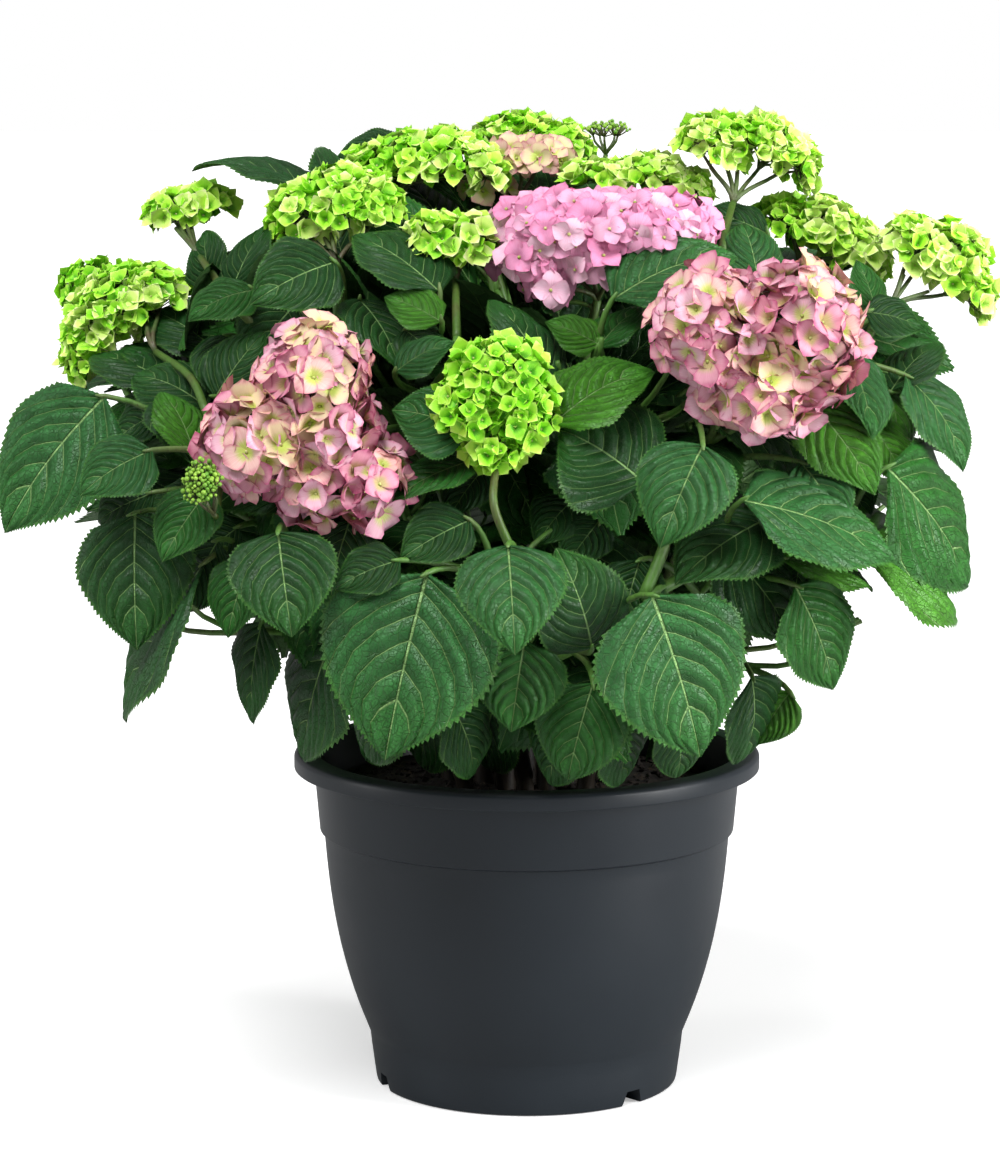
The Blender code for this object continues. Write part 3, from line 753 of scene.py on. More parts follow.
# Leaves that show best: foot and tip of the blade and its width in image points, the green,
# and how far the foot and the tip stand proud of the crown, in millimetres.
SEEN_LEAVES = (
    ((105, 396), (5, 533), 150, BLUISH, 10, 48), ((152, 450), (80, 496), 82, BLUISH, 30, 62),
    ((135, 513), (137, 650), 118, DEEP_SHADED, 0, 15), ((205, 562), (126, 722), 62, DEEP_SHADED, -30, 0),
    ((262, 622), (254, 725), 50, DEEP_SHADED, -45, -20), ((207, 492), (162, 562), 70, MID, -5, 10),
    ((278, 532), (292, 637), 105, DEEP_SHADED, -5, 12), ((250, 560), (228, 638), 60, MID, -30, -10),
    ((335, 630), (305, 762), 75, DEEP_SHADED, -40, -28), ((400, 560), (335, 590), 60, DEEP_SHADED, -30, -15),
    ((427, 573), (385, 760), 185, BLUISH, -25, 25), ((508, 545), (515, 655), 108, BLUISH, 0, 38),
    ((525, 640), (511, 732), 95, MID, -20, 8), ((593, 683), (568, 780), 92, MID, -20, 6),
    ((592, 648), (556, 548), 100, DEEP_SHADED, -30, -20), ((652, 595), (700, 757), 165, BLUISH, -10, 30),
    ((645, 483), (560, 430), 140, DEEP_SHADED, -15, -20), ((703, 445), (660, 548), 98, BLUISH, 25, 2),
    ((742, 500), (896, 562), 72, BLUISH, 0, 14), ((768, 518), (675, 585), 90, DEEP_SHADED, -25, -15),
    ((812, 405), (875, 495), 75, FRESH, -15, 0), ((795, 585), (833, 690), 75, MID, -15, 0),
    ((790, 692), (757, 745), 50, FRESH, -60, -50), ((856, 548), (948, 612), 64, FRESH, -16, -6),
    ((887, 467), (967, 588), 98, MID, 0, 10), ((905, 375), (963, 472), 44, BLUISH, -5, 5),
    ((845, 350), (872, 440), 62, BLUISH, -10, 6), ((890, 392), (941, 343), 45, DEEP_SHADED, -20, -8),
    ((865, 312), (922, 330), 40, DEEP_SHADED, -10, 0), ((322, 197), (192, 171), 22, DEEP_SHADED, -95, -80),
    ((335, 262), (250, 305), 78, DEEP_SHADED, 0, 15), ((232, 290), (270, 224), 42, DEEP_SHADED, -60, -60),
    ((214, 288), (206, 230), 44, DEEP_SHADED, -100, -95), ((255, 290), (188, 322), 44, MID, -12, 0),
    ((440, 292), (352, 236), 56, DEEP_SHADED, -15, -20), ((395, 372), (455, 342), 36, BLUISH, -10, 0),
    ((470, 432), (392, 410), 88, BLUISH, -10, 0), ((195, 458), (160, 392), 50, FRESH, -20, -15),
    ((215, 397), (265, 332), 60, DEEP_SHADED, -30, -30), ((552, 425), (655, 372), 66, FRESH, -10, 0),
    ((548, 388), (488, 300), 46, DEEP_SHADED, -25, -25), ((600, 345), (545, 322), 40, FRESH, -25, -20),
    ((596, 350), (642, 306), 40, MID, -25, -25), ((612, 300), (738, 258), 66, BLUISH, 5, 15),
    ((758, 278), (742, 224), 58, BLUISH, -22, -28), ((768, 234), (700, 213), 36, DEEP_SHADED, -75, -75),
    ((876, 312), (856, 260), 30, MID, -20, -20), ((800, 462), (842, 534), 62, BLUISH, -25, -15),
    ((880, 370), (897, 456), 48, FRESH, -34, -28), ((865, 420), (905, 492), 44, FRESH, -25, -15),
    ((778, 558), (872, 592), 46, FRESH, -22, -12), ((680, 722), (676, 778), 52, DEEP_SHADED, -45, -40),
    ((466, 462), (386, 506), 44, MID, -45, -22), ((410, 150), (336, 158), 40, DEEP_SHADED, -170, -165),
    ((300, 300), (245, 372), 78, DEEP_SHADED, -45, -40), ((230, 335), (215, 400), 66, DEEP_SHADED, -45, -40),
    ((360, 300), (400, 372), 60, DEEP_SHADED, -40, -38), ((170, 400), (206, 476), 60, DEEP_SHADED, -32, -30),
    ((640, 560), (622, 640), 66, DEEP_SHADED, -50, -42), ((720, 545), (790, 640), 80, DEEP_SHADED, -40, -32),
    ((470, 520), (400, 560), 62, DEEP_SHADED, -40, -34), ((350, 520), (330, 610), 70, DEEP_SHADED, -48, -38),
    ((566, 716), (552, 786), 58, DEEP_SHADED, -62, -58), ((452, 706), (470, 778), 56, DEEP_SHADED, -74, -66),
    ((622, 722), (618, 786), 50, DEEP_SHADED, -60, -60), ((392, 690), (372, 762), 60, DEEP_SHADED, -60, -60),
    ((155, 492), (98, 522), 58, DEEP_SHADED, -34, -34), ((218, 540), (190, 612), 62, DEEP_SHADED, -45, -40),
    ((802, 545), (792, 604), 52, DEEP_SHADED, -55, -50), ((442, 322), (384, 297), 40, FRESH, -8, -6),
    ((405, 330), (440, 365), 44, DEEP_SHADED, -22, -18), ((345, 222), (329, 150), 48, DEEP_SHADED, -125, -135),
    ((446, 226), (386, 166), 54, DEEP_SHADED, -165, -160), ((566, 222), (506, 170), 60, DEEP_SHADED, -200, -200),
    ((500, 228), (446, 176), 60, DEEP_SHADED, -190, -190), ((524, 236), (470, 190), 60, DEEP_SHADED, -180, -180),
    ((208, 408), (132, 378), 56, DEEP_SHADED, -45, -40), ((484, 468), (448, 520), 50, DEEP_SHADED, -75, -70),
    ((165, 410), (112, 444), 60, DEEP_SHADED, -60, -58), ((240, 526), (204, 562), 56, DEEP_SHADED, -70, -66),
    ((470, 230), (418, 172), 60, DEEP_SHADED, -200, -195), ((206, 396), (124, 348), 56, DEEP_SHADED, -100, -100),
    ((830, 464), (868, 522), 62, DEEP_SHADED, -50, -40), ((600, 520), (566, 566), 60, DEEP_SHADED, -80, -75),
    ((576, 498), (536, 546), 60, DEEP_SHADED, -90, -85), ((198, 498), (148, 508), 54, DEEP_SHADED, -75, -75),
    ((222, 356), (152, 312), 58, DEEP_SHADED, -95, -95), ((172, 384), (92, 356), 52, DEEP_SHADED, -62, -64),
    # Deep-green leaves far back, filling the shade under the front leaves; their green is partly painted
    # shade.
    ((446, 684), (424, 768), 76, DEEP_SHADED, -150, -150), ((396, 676), (366, 760), 70, DEEP_SHADED, -140, -140),
    ((752, 676), (734, 764), 46, DEEP_SHADED, -60, -52),
    ((500, 690), (492, 770), 70, DEEP_SHADED, -160, -160), ((560, 686), (574, 772), 70, DEEP_SHADED, -160, -160),
)


def crown_front(x, z):
    """How far forward the crown's surface lies there, as a y."""
    reach = np.interp(z, CROWN_LEVELS, CROWN_REACHES)
    inside = max(0.0, 1 - ((x - HEART.x) / reach) ** 2)
    return -float(np.interp(z, CROWN_LEVELS, CROWN_DEPTHS)) * math.sqrt(inside)


def on_crown(across, down, proud):
    """The point of the crown's front that shows at that place of the image, brought forward."""
    y = -0.1
    for _ in range(14):
        place = off_image(across, down, y)
        y = 0.5 * y + 0.5 * (crown_front(place.x, place.z) - proud)
    return off_image(across, down, y)


def half_width(share):
    """Half the width of a leaf as long as it is wide: round at the foot, drawn out at the tip."""
    return 0.5 * float(np.interp(share, *zip(*OUTLINE)))


def leaf_shape(rows_between, columns, tooth_spacing):
    """The flat leaf: its rows of corners follow the side veins, and its edge has teeth."""
    flat, veins, faces = [], [], []
    ribs = range(SECONDARIES + 1)
    wide = len(columns)
    for side in (1, -1):
        grid = [[len(flat)] * wide]
        flat.append((0.0, 0.0))
        veins.append((0.0, 0.0))
        for place in range(1, SECONDARIES * rows_between):
            row = place / rows_between
            start = float(np.interp(row, ribs, MIDRIB_STARTS))
            end = float(np.interp(row, ribs, MARGIN_ENDS))
            bulge = start + 0.42 * (end - start)
            widest = float(np.interp(row, (0, 1, 7), (0.70, 0.80, 0.80))) * half_width(bulge)
            grid.append([len(flat) + step for step in range(wide)])
            for column in columns:
                rest = 1 - column
                across = 2 * column * rest * widest + column ** 2 * half_width(end)
                along = rest ** 2 * start + 2 * column * rest * bulge + column ** 2 * end
                flat.append((side * across, along))
                veins.append((column, row))
        grid.append([len(flat)] * wide)
        flat.append((0.0, 1.0))
        veins.append((0.0, float(SECONDARIES)))
        for place, (near, far) in enumerate(zip(grid, grid[1:])):
            first, second = np.array(flat[near[-1]]), np.array(flat[far[-1]])
            reach = second - first
            length = float(np.linalg.norm(reach))
            away = side * np.array((reach[1], -reach[0])) / (length + 1e-9)
            teeth = max(1, round(length / tooth_spacing))
            rounding = min(1.0, max(0.15, ((first[1] + second[1]) / 2 - 0.02) / 0.12))
            height = min(TOOTH, 0.6 * length / teeth) * rounding
            margin = [near[-1]]
            for tooth in range(teeth):
                start, end = first + reach * tooth / teeth, first + reach * (tooth + 1) / teeth
                flat.append(tuple(start * 0.30 + end * 0.70 + away * height))
                veins.append((1.0, (place + (tooth + 0.5) / teeth) / rows_between))
                peak = len(flat) - 1
                if tooth + 1 < teeth:
                    flat.append(tuple(end))
                    veins.append((1.0, (place + (tooth + 1) / teeth) / rows_between))
                margin.append(len(flat) - 1 if tooth + 1 < teeth else far[-1])
                faces.append((margin[-2], peak, margin[-1])[::side])
            for column in range(wide - 1):
                ring = [near[column], near[column + 1]]
                if column == wide - 2:
                    ring += margin[1:-1]
                ring = list(dict.fromkeys(ring + [far[column + 1], far[column]]))
                if len(ring) > 2:
                    faces.append(tuple(ring)[::side])
    return weld(np.array(flat), np.array(veins), faces)


def weld(flat, veins, faces):
    """Joins the two halves of a flat shape along the middle."""
    keep, order, new_place = {}, [], []
    for place, (across, along) in enumerate(flat):
        key = (round(across, 6), round(along, 6)) if abs(across) < 1e-7 else place
        if key not in keep:
            keep[key] = len(order)
            order.append(place)
        new_place.append(keep[key])
    joined = [tuple(new_place[corner] for corner in face) for face in faces]
    return flat[order], veins[order], joined


def bend_leaf(shape, width, droop, fold, curl, ripple, quilt, twist, phase):
    """A leaf of length 1 in the round: it droops, folds at the midrib and swells between veins."""
    flat, veins, _ = shape
    across, along = flat[:, 0] * width, np.clip(flat[:, 1], 0, 1.02)
    out, row = veins[:, 0], veins[:, 1]
    share = np.abs(flat[:, 0]) * 2
    lift = quilt * np.sin(np.pi * (row % 1)) * np.clip(4 * out * (1 - out), 0, 1) ** 0.6
    lift += ripple * np.sin(math.tau * 2.3 * along + phase + 1.7 * (across > 0)) * share ** 2
    lift += width * 0.5 * (math.tan(fold) * share - curl * share ** 2.2)
    lift -= 0.006 * width * (out < 0.03)
    steps = np.linspace(0, 1.02, 52)
    turning = droop * steps ** 1.4
    run = np.concatenate(([0], np.cumsum(np.cos(turning[1:]) * np.diff(steps))))
    fall = np.concatenate(([0], np.cumsum(np.sin(turning[1:]) * np.diff(steps))))
    turned = np.interp(along, steps, turning)
    lean = twist * along
    x = across * np.cos(lean) - lift * np.sin(lean)
    raised = across * np.sin(lean) + lift * np.cos(lean)
    y = np.interp(along, steps, run) + raised * np.sin(turned)
    z = -np.interp(along, steps, fall) + raised * np.cos(turned)
    chord_end = np.array((0, np.interp(1, steps, run), -np.interp(1, steps, fall)))
    return np.stack((x, y, z), axis=1), chord_end


def hang_leaf(bent, chord_end, foot, tip, facing):
    """Turns and scales a bent leaf so that its foot and tip fall where they should."""
    chord = np.array(tip) - np.array(foot)
    ahead = chord / np.linalg.norm(chord)
    normal = np.array(facing) - ahead * np.dot(facing, ahead)
    normal /= np.linalg.norm(normal)
    sideways = np.cross(ahead, normal)
    slope = math.atan2(chord_end[2], chord_end[1])
    y = bent[:, 1] * math.cos(slope) + bent[:, 2] * math.sin(slope)
    z = -bent[:, 1] * math.sin(slope) + bent[:, 2] * math.cos(slope)
    scale = np.linalg.norm(chord) / np.linalg.norm(chord_end)
    turned = np.outer(bent[:, 0], sideways) + np.outer(y, ahead) + np.outer(z, normal)
    return turned * scale + np.array(foot)


def tile_pairs(shape, tile):
    """Where a flat shape lies in its square of the two-by-two map."""
    flat = shape[0]
    across = (tile % 2 + 0.5 + flat[:, 0] * TILE_SHARE) / 2
    along = (tile // 2 + 0.5 + (flat[:, 1] - 0.5) * TILE_SHARE) / 2
    return np.stack((across, along), axis=1)


class Spray:
    """Many copies of one flat shape, each bent in its own way, gathered into one mesh."""

    def __init__(self, shape):
        self.shape = shape
        self.points, self.faces, self.tiles, self.rows = [], [], [], []
        self.count = 0

    def add(self, points, tile):
        self.points.append(points)
        self.faces += [tuple(corner + self.count for corner in face) for face in self.shape[2]]
        self.tiles.append(tile_pairs(self.shape, tile))
        self.rows.append(self.shape[1] * (1, 1 / SECONDARIES))
        self.count += len(points)

    def piece(self, name, material):
        maps = {"OFBake": np.concatenate(self.tiles), "Veins": np.concatenate(self.rows)}
        return mesh_piece(name, np.concatenate(self.points), self.faces, material, maps)


def tile_group():
    """Splits the two-by-two map into a place in its square and the square's own number."""
    group, given, sent = start_group(
        "square_of_map", {"Map": "Vector"}, {"Across": "Float", "Along": "Float", "Square": "Float"})
    parts = put(group, "SeparateXYZ", {0: given["Map"]})
    doubled = [sum_up(group, "MULTIPLY", parts.outputs[place], 2.0) for place in (0, 1)]
    inside = [sum_up(group, "FRACT", value) for value in doubled]
    square = [sum_up(group, "FLOOR", value) for value in doubled]
    centred = sum_up(group, "DIVIDE", sum_up(group, "SUBTRACT", inside[0], 0.5), TILE_SHARE)
    upward = sum_up(group, "SUBTRACT", inside[1], 0.5 - TILE_SHARE / 2)
    number = sum_up(group, "ADD", square[0], sum_up(group, "MULTIPLY", square[1], 2.0))
    group.links.new(centred, sent["Across"])
    group.links.new(sum_up(group, "DIVIDE", upward, TILE_SHARE), sent["Along"])
    group.links.new(number, sent["Square"])
    return group


def read_tiles(tree):
    found = put(tree, "UVMap", uv_map="OFBake").outputs[0]
    return put(tree, "Group", {"Map": found}, node_tree=square_of_map).outputs


def dealt(tree, number, choices):
    """One of four colours, by the number of the square."""
    quarter = sum_up(tree, "MULTIPLY", sum_up(tree, "ADD", number, 0.5), 0.25)
    ramp = put(tree, "ValToRGB", {0: quarter})
    ramp.color_ramp.interpolation = "CONSTANT"
    ramp.color_ramp.elements[0].color = (*choices[0], 1)
    ramp.color_ramp.elements[1].position = 0.25
    ramp.color_ramp.elements[1].color = (*choices[1], 1)
    for place, colour in ((0.5, choices[2]), (0.75, choices[3])):
        ramp.color_ramp.elements.new(place).color = (*colour, 1)
    return ramp.outputs[0]


def cells(tree, place, scale):
    """How far it is to the edge of the cells of a net."""
    wires = {"Vector": place, "Scale": scale}
    return put(tree, "TexVoronoi", wires, feature="DISTANCE_TO_EDGE").outputs[0]


def leaf_blade():
    """Leathery green: pale sunken veins in a net of fine ones, a lighter edge, a paler back, and painted
    light and shade on the swells between side veins.
    """
    material, tree, shader = start_material("leaf_blade", 0.45)
    shader.inputs["Specular IOR Level"].default_value = 0.32
    across, along, square = read_tiles(tree)
    veins = put(tree, "SeparateXYZ", {0: put(tree, "UVMap", uv_map="Veins").outputs[0]})
    out, row = veins.outputs[0], sum_up(tree, "MULTIPLY", veins.outputs[1], SECONDARIES)
    flat_place = put(tree, "CombineXYZ", {0: across, 1: along, 2: square}).outputs[0]
    wobble = grain_of(tree, flat_place, 9.0, 2.0)
    strayed = sum_up(tree, "MULTIPLY", sum_up(tree, "SUBTRACT", wobble, 0.5), 0.10)
    shifted = sum_up(tree, "ADD", row, strayed)
    off_vein = sum_up(tree, "PINGPONG", shifted, 0.5)
    broad = sum_up(tree, "SUBTRACT", 0.040, sum_up(tree, "MULTIPLY", out, 0.024))
    side_vein = spread(tree, sum_up(tree, "DIVIDE", off_vein, broad), 1.25, 0.35)
    inner = spread(tree, row, 0.55, 0.95)
    side_vein = sum_up(tree, "MULTIPLY", side_vein, inner)
    rib_width = sum_up(tree, "SUBTRACT", 0.0125, sum_up(tree, "MULTIPLY", along, 0.0090))
    off_rib = sum_up(tree, "DIVIDE", sum_up(tree, "ABSOLUTE", across), rib_width)
    midrib = spread(tree, off_rib, 1.3, 0.5)
    main = sum_up(tree, "MAXIMUM", midrib, sum_up(tree, "MULTIPLY", side_vein, 0.88))
    beside = spread(tree, off_vein, 0.20, 0.0)
    net_line = spread(tree, cells(tree, flat_place, 26.0), 0.055, 0.01)
    fine_line = spread(tree, cells(tree, flat_place, 62.0), 0.06, 0.01)
    tint = dealt(tree, square, LEAF_GREENS)
    mottle = colours(tree, wobble, ((0.28, (0.34,) * 3), (0.72, (0.62,) * 3)))
    blade = blend_colour(tree, 0.9, tint, mottle, "OVERLAY")
    swell = sum_up(tree, "FRACT", shifted)
    # Painted light and shade: each swell between side veins is painted lighter on its upper slope and darker
    # on its lower slope.
    sunlit_slope = sum_up(tree, "MULTIPLY", spread(tree, swell, 0.95, 0.25), spread(tree, out, 1.0, 0.70))
    painted_slope_shade = colours(tree, sunlit_slope, ((0.0, (0.45,) * 3), (1.0, (0.56,) * 3)))
    blade = blend_colour(tree, 1.0, blade, painted_slope_shade, "OVERLAY")
    for where, amount, paler in (
            (net_line, 0.16, (0.120, 0.280, 0.060, 1)),
            (fine_line, 0.08, (0.120, 0.280, 0.060, 1)),
            (beside, 0.16, (0.100, 0.260, 0.060, 1)),
            (spread(tree, out, 0.94, 1.0), 0.40, (0.090, 0.250, 0.030, 1)),
            (spread(tree, along, 0.35, 1.05), 0.40, (0.040, 0.210, 0.022, 1)),
            (main, 0.90, (0.310, 0.540, 0.185, 1))):
        blade = blend_colour(tree, sum_up(tree, "MULTIPLY", where, amount), blade, paler)
    behind = blend_colour(tree, 0.60, blade, (0.120, 0.240, 0.080, 1))
    back = put(tree, "NewGeometry").outputs["Backfacing"]
    shown = blend_colour(tree, back, blade, behind)
    sunk = sum_up(tree, "ADD", main, sum_up(tree, "MULTIPLY", net_line, 0.36))
    sunk = sum_up(tree, "ADD", sunk, sum_up(tree, "MULTIPLY", fine_line, 0.13))
    rise = sum_up(tree, "MULTIPLY", swell, sum_up(tree, "SUBTRACT", 1.0, swell))
    rise = sum_up(tree, "MULTIPLY", rise, spread(tree, out, 1.1, 0.55, 0.0, 2.0))
    height = sum_up(tree, "SUBTRACT", rise, sunk)
    rough = spread(tree, wobble, 0.25, 0.75, 0.37, 0.50)
    feed(tree, shader, colour=shown, roughness=rough, normal=bump(tree, height, 1.0, 0.0036))
    return material


def off_centre(place, middle, half):
    """How far out a point lies from the middle of an egg: 1 on its surface."""
    return Vector((a - b) / c for a, b, c in zip(place, middle, half)).length


def meets_head(place, margin):
    """Whether a point lies in a flower head, or stands before one as the camera sees it."""
    across, down = on_image(place)
    for middle, half, shown_at, shown_half in head_places:
        if off_centre(place, middle, half) < 1 + margin:
            return True
        if middle.y > 0.15:
            continue
        aside, above = (across - shown_at[0]) / shown_half[0], (down - shown_at[1]) / shown_half[1]
        if math.hypot(aside, above) < 0.92 and place.y < middle.y:
            return True
    return False


head_places = []
for head_name in HEADS:
    head_middle, head_half = middle_and_half("head_" + head_name)
    centre_shown = on_image(head_middle)
    right_shown = on_image(head_middle + Vector((head_half.x, 0, 0)))
    top_shown = on_image(head_middle + Vector((0, 0, head_half.z)))
    shown_half = (right_shown[0] - centre_shown[0], centre_shown[1] - top_shown[1])
    head_places.append((head_middle, head_half, centre_shown, shown_half))

FINE_LEAF = leaf_shape(4, (0.0, 0.07, 0.28, 0.55, 0.80, 1.0), 0.036)
PLAIN_LEAF = leaf_shape(1, (0.0, 0.34, 0.68, 1.0), 0.055)
leaf_rng = random.Random(7)
front_leaves, crown_leaves = Spray(FINE_LEAF), Spray(PLAIN_LEAF)
petioles = Bundle()
leaf_spots = []      # middle, normal and half length of each leaf, so that none cuts another


def add_petiole(start, start_way, foot, foot_way, thick):
    line = arching(start, start_way, foot, foot_way, 7)
    radii = taper(line, thick * 1.15, thick * 0.70)
    line.append(foot + foot_way * thick * 2.5)
    petioles.add(line, radii + [thick * 0.30], 6)


joints = []          # places on the shoots where a leaf stalk can start
for line, mass_name, flowers in shoots:
    for place in range(2, len(line) - 1):
        joints.append((line[place], (line[place + 1] - line[place - 1]).normalized()))


def nearest_joint(place):
    return min(joints, key=lambda joint: (joint[0] - place).length)


for foot_seen, tip_seen, wide_seen, green, foot_proud, tip_proud in SEEN_LEAVES:
    foot = on_crown(*foot_seen, foot_proud / 1000)
    tip = on_crown(*tip_seen, tip_proud / 1000)
    chord = tip - foot
    to_eye = (EYE - foot).normalized()
    outwards = (tip - HEART).normalized()
    scale_here = (EYE - foot).length / EYE_REACH
    width = wide_seen * scale_here
    natural = chord.length * 1.04 * 0.80
    ahead = chord.normalized()
    facing = to_eye * 0.60 + outwards * 0.22 + UP * 0.60
    if width < natural * 0.97:
        flat_on = (to_eye - ahead * to_eye.dot(ahead)).normalized()
        edge_on = ahead.cross(flat_on)
        if edge_on.dot(UP + outwards * 0.4) < 0:
            edge_on.negate()
        lean_share = max(0.10, width / natural)
        facing = flat_on * lean_share + edge_on * math.sqrt(1 - lean_share ** 2)
        width = natural
    bent, chord_end = bend_leaf(
        FINE_LEAF, width / chord.length,
        droop=leaf_rng.uniform(0.40, 1.00), fold=leaf_rng.uniform(0.10, 0.24),
        curl=leaf_rng.uniform(0.10, 0.30), ripple=leaf_rng.uniform(0.012, 0.034),
        quilt=leaf_rng.uniform(0.018, 0.024), twist=leaf_rng.uniform(-0.18, 0.18),
        phase=leaf_rng.uniform(0, 6))
    hung = hang_leaf(bent, chord_end, foot, tip, facing)
    front_leaves.add(hung, green)
    leaf_spots.append(((foot + tip) / 2, Vector(facing).normalized(), chord.length / 2))
    inward = foot - (outwards * 0.8 + to_eye * 0.4 - ahead * 0.2) * 0.05
    start, start_way = nearest_joint(inward)
    leave_way = (start_way * 0.4 + (foot - start).normalized()).normalized()
    arrive_way = (ahead * 0.35 + outwards * 0.15 + (foot - start).normalized() * 0.70).normalized()
    add_petiole(start, leave_way, foot, arrive_way, STALK_OF_FRONT_LEAF)

LOWEST_SEEN = ((0, 500), (62, 510), (84, 600), (180, 575), (230, 600), (300, 680), (335, 745), (640, 765),
               (750, 700), (790, 610), (900, 580), (960, 480), (1000, 400))
HIGHEST_SEEN = ((0, 440), (60, 400), (180, 275), (250, 245), (330, 170), (400, 150), (560, 145),
                (700, 195), (850, 255), (950, 365), (1000, 420))


def within_outline(place):
    across, down = on_image(place)
    low = np.interp(across, *zip(*LOWEST_SEEN))
    high = np.interp(across, *zip(*HIGHEST_SEEN))
    return 8 < across < 960 and high < down < low


def leaf_fits(probes, normal, half_length, spaced):
    """Whether a leaf there stays in the crown, clear of pot, heads and other leaves."""
    middle = probes[0]
    for place in probes:
        if not within_outline(place):
            return False
        if place.y < 0:
            reach = np.interp(place.z, CROWN_LEVELS, CROWN_REACHES)
            depth = np.interp(place.z, CROWN_LEVELS, CROWN_DEPTHS)
            if ((place.x - HEART.x) / reach) ** 2 + (place.y / depth) ** 2 > 0.88 ** 2:
                return False
        off_middle = math.hypot(place.x, place.y)
        over_compost = off_middle < LIP_RADIUS - CLEARANCE and place.z > COMPOST_TOP + CLEARANCE
        near_rim = place.z < POT_HEIGHT + CLEARANCE and off_middle < RIM_RADIUS + 0.010
        if near_rim and not over_compost:
            return False
        if place.z < LOWEST_LEAF:
            return False
        if not (CAD_LOW[0] - CLEARANCE < place.x < CAD_HIGH[0] + CLEARANCE):
            return False
        if not (CAD_LOW[1] - CLEARANCE < place.y < CAD_HIGH[1] + CLEARANCE):
            return False
        if place.z > CAD_HIGH[2] - 0.02 or meets_head(place, 0.05):
            return False
    for other, other_normal, other_half in leaf_spots if spaced else ():
        apart = other - middle
        if apart.length < 0.5 * (half_length + other_half):
            off_plane = abs(apart.dot(normal))
            alike = normal.dot(other_normal)
            if off_plane < 0.006 or alike < 0.45 and apart.length < 0.35 * (half_length + other_half):
                return False
    return True


def hang_blade(foot, ahead, normal, length, spaced=True):
    """Hangs one leaf, if it fits there. Says whether it did."""
    width = length * leaf_rng.uniform(0.72, 0.86)
    tip = foot + ahead * length * 0.97
    across = ahead.cross(normal) * width * 0.45
    middle = (foot + tip) / 2
    probes = (middle, tip, middle + across, middle - across, foot)
    if not leaf_fits(probes, normal, length / 2, spaced):
        return False
    bent, chord_end = bend_leaf(
        PLAIN_LEAF, width / length,
        droop=leaf_rng.uniform(0.35, 1.0), fold=leaf_rng.uniform(0.08, 0.26),
        curl=leaf_rng.uniform(0.08, 0.30), ripple=leaf_rng.uniform(0.010, 0.030), quilt=0.018,
        twist=leaf_rng.uniform(-0.2, 0.2), phase=leaf_rng.uniform(0, 6))
    height_share = (middle.z - 0.25) / 0.40
    # Painted shade: lower leaves take the deep green more often, darker where the crown shades them.
    green = leaf_rng.choices((DEEP_SHADED, MID, BLUISH, FRESH), (4 - 2 * height_share, 3, 2, 0.5))[0]
    crown_leaves.add(hang_leaf(bent, chord_end, foot, tip, normal), green)
    leaf_spots.append((middle, normal, length / 2))
    return True


def leafy_pair(start, shoot_way, side, length, reach):
    """An opposite pair of leaves from one joint of a shoot."""
    for hand in (1, -1):
        away = start - HEART
        away = away / max(0.05, away.length)
        out_way = (shoot_way * 0.55 + side * hand + away * 0.35).normalized()
        foot = start + out_way * reach + Vector((0, 0, 0.10 * reach))
        sag = leaf_rng.uniform(0.25, 0.75)
        ahead = (out_way * 0.8 + away * 0.55 - UP * sag).normalized()
        normal = (UP * leaf_rng.uniform(0.55, 0.95) + away * leaf_rng.uniform(0.5, 0.9)
                  + Vector([leaf_rng.uniform(-0.2, 0.2) for _ in range(3)]))
        normal = (normal - ahead * normal.dot(ahead)).normalized()
        if not hang_blade(foot, ahead, normal, length * leaf_rng.uniform(0.88, 1.1)):
            continue
        leave_way = (side * hand + shoot_way * 0.5).normalized()
        add_petiole(start, leave_way, foot, (out_way + ahead * 0.6).normalized(), STALK_OF_LEAF)


for line, mass_name, flowers in shoots:
    lengths = np.cumsum([0] + [(b - a).length for a, b in zip(line, line[1:])])
    side = (line[-1] - line[-2]).normalized().cross(UP)
    if side.length < 0.1:
        side = Vector((1, 0, 0))
    side.normalize()
    quarter = leaf_rng.random() < 0.5
    back = 0.030 if flowers else 0.012
    pair = 0
    while back < lengths[-1]:
        along_line = lengths[-1] - back
        place = int(np.searchsorted(lengths, along_line))
        share = (along_line - lengths[place - 1]) / (lengths[place] - lengths[place - 1] + 1e-9)
        start = line[place - 1].lerp(line[place], float(share))
        way = (line[place] - line[place - 1]).normalized()
        level = (side - way * side.dot(way)).normalized()
        upright = way.cross(level)
        use = upright if quarter else level
        if flowers:
            size = min(LARGEST_BELOW_HEAD, 0.095 + 0.015 * pair)
        else:
            size = min(LARGEST_BLIND, 0.080 + 0.022 * pair)
        leafy_pair(start, way, use, size, min(0.040, 0.014 + 0.008 * pair))
        quarter = not quarter
        pair += 1
        back += PAIR_SPACING * leaf_rng.uniform(0.85, 1.2)

for mass_name in MASSES:
    cane = cane_lines[mass_name]
    travelled, quarter = 0.0, leaf_rng.random() < 0.5
    for before, here in zip(cane, cane[1:]):
        travelled += (here - before).length
        if travelled < CANE_PAIR_SPACING or here.z < LOWEST_CANE_LEAF:
            continue
        travelled = 0.0
        way = (here - before).normalized()
        level = way.cross(here - HEART * 0.9)
        level = level.normalized() if level.length > 0.001 else Vector((1, 0, 0))
        use = way.cross(level) if quarter else level
        leafy_pair(here, way, use, leaf_rng.uniform(0.095, 0.125), leaf_rng.uniform(0.030, 0.060))
        quarter = not quarter


def joined_leaves():
    """All the leaves so far as one tree of faces, to look for gaps with."""
    corners, faces = [], []
    for spray in (front_leaves, crown_leaves):
        faces += [tuple(corner + len(corners) for corner in face) for face in spray.faces]
        corners += np.concatenate(spray.points).tolist()
    return BVHTree.FromPolygons(corners, faces)


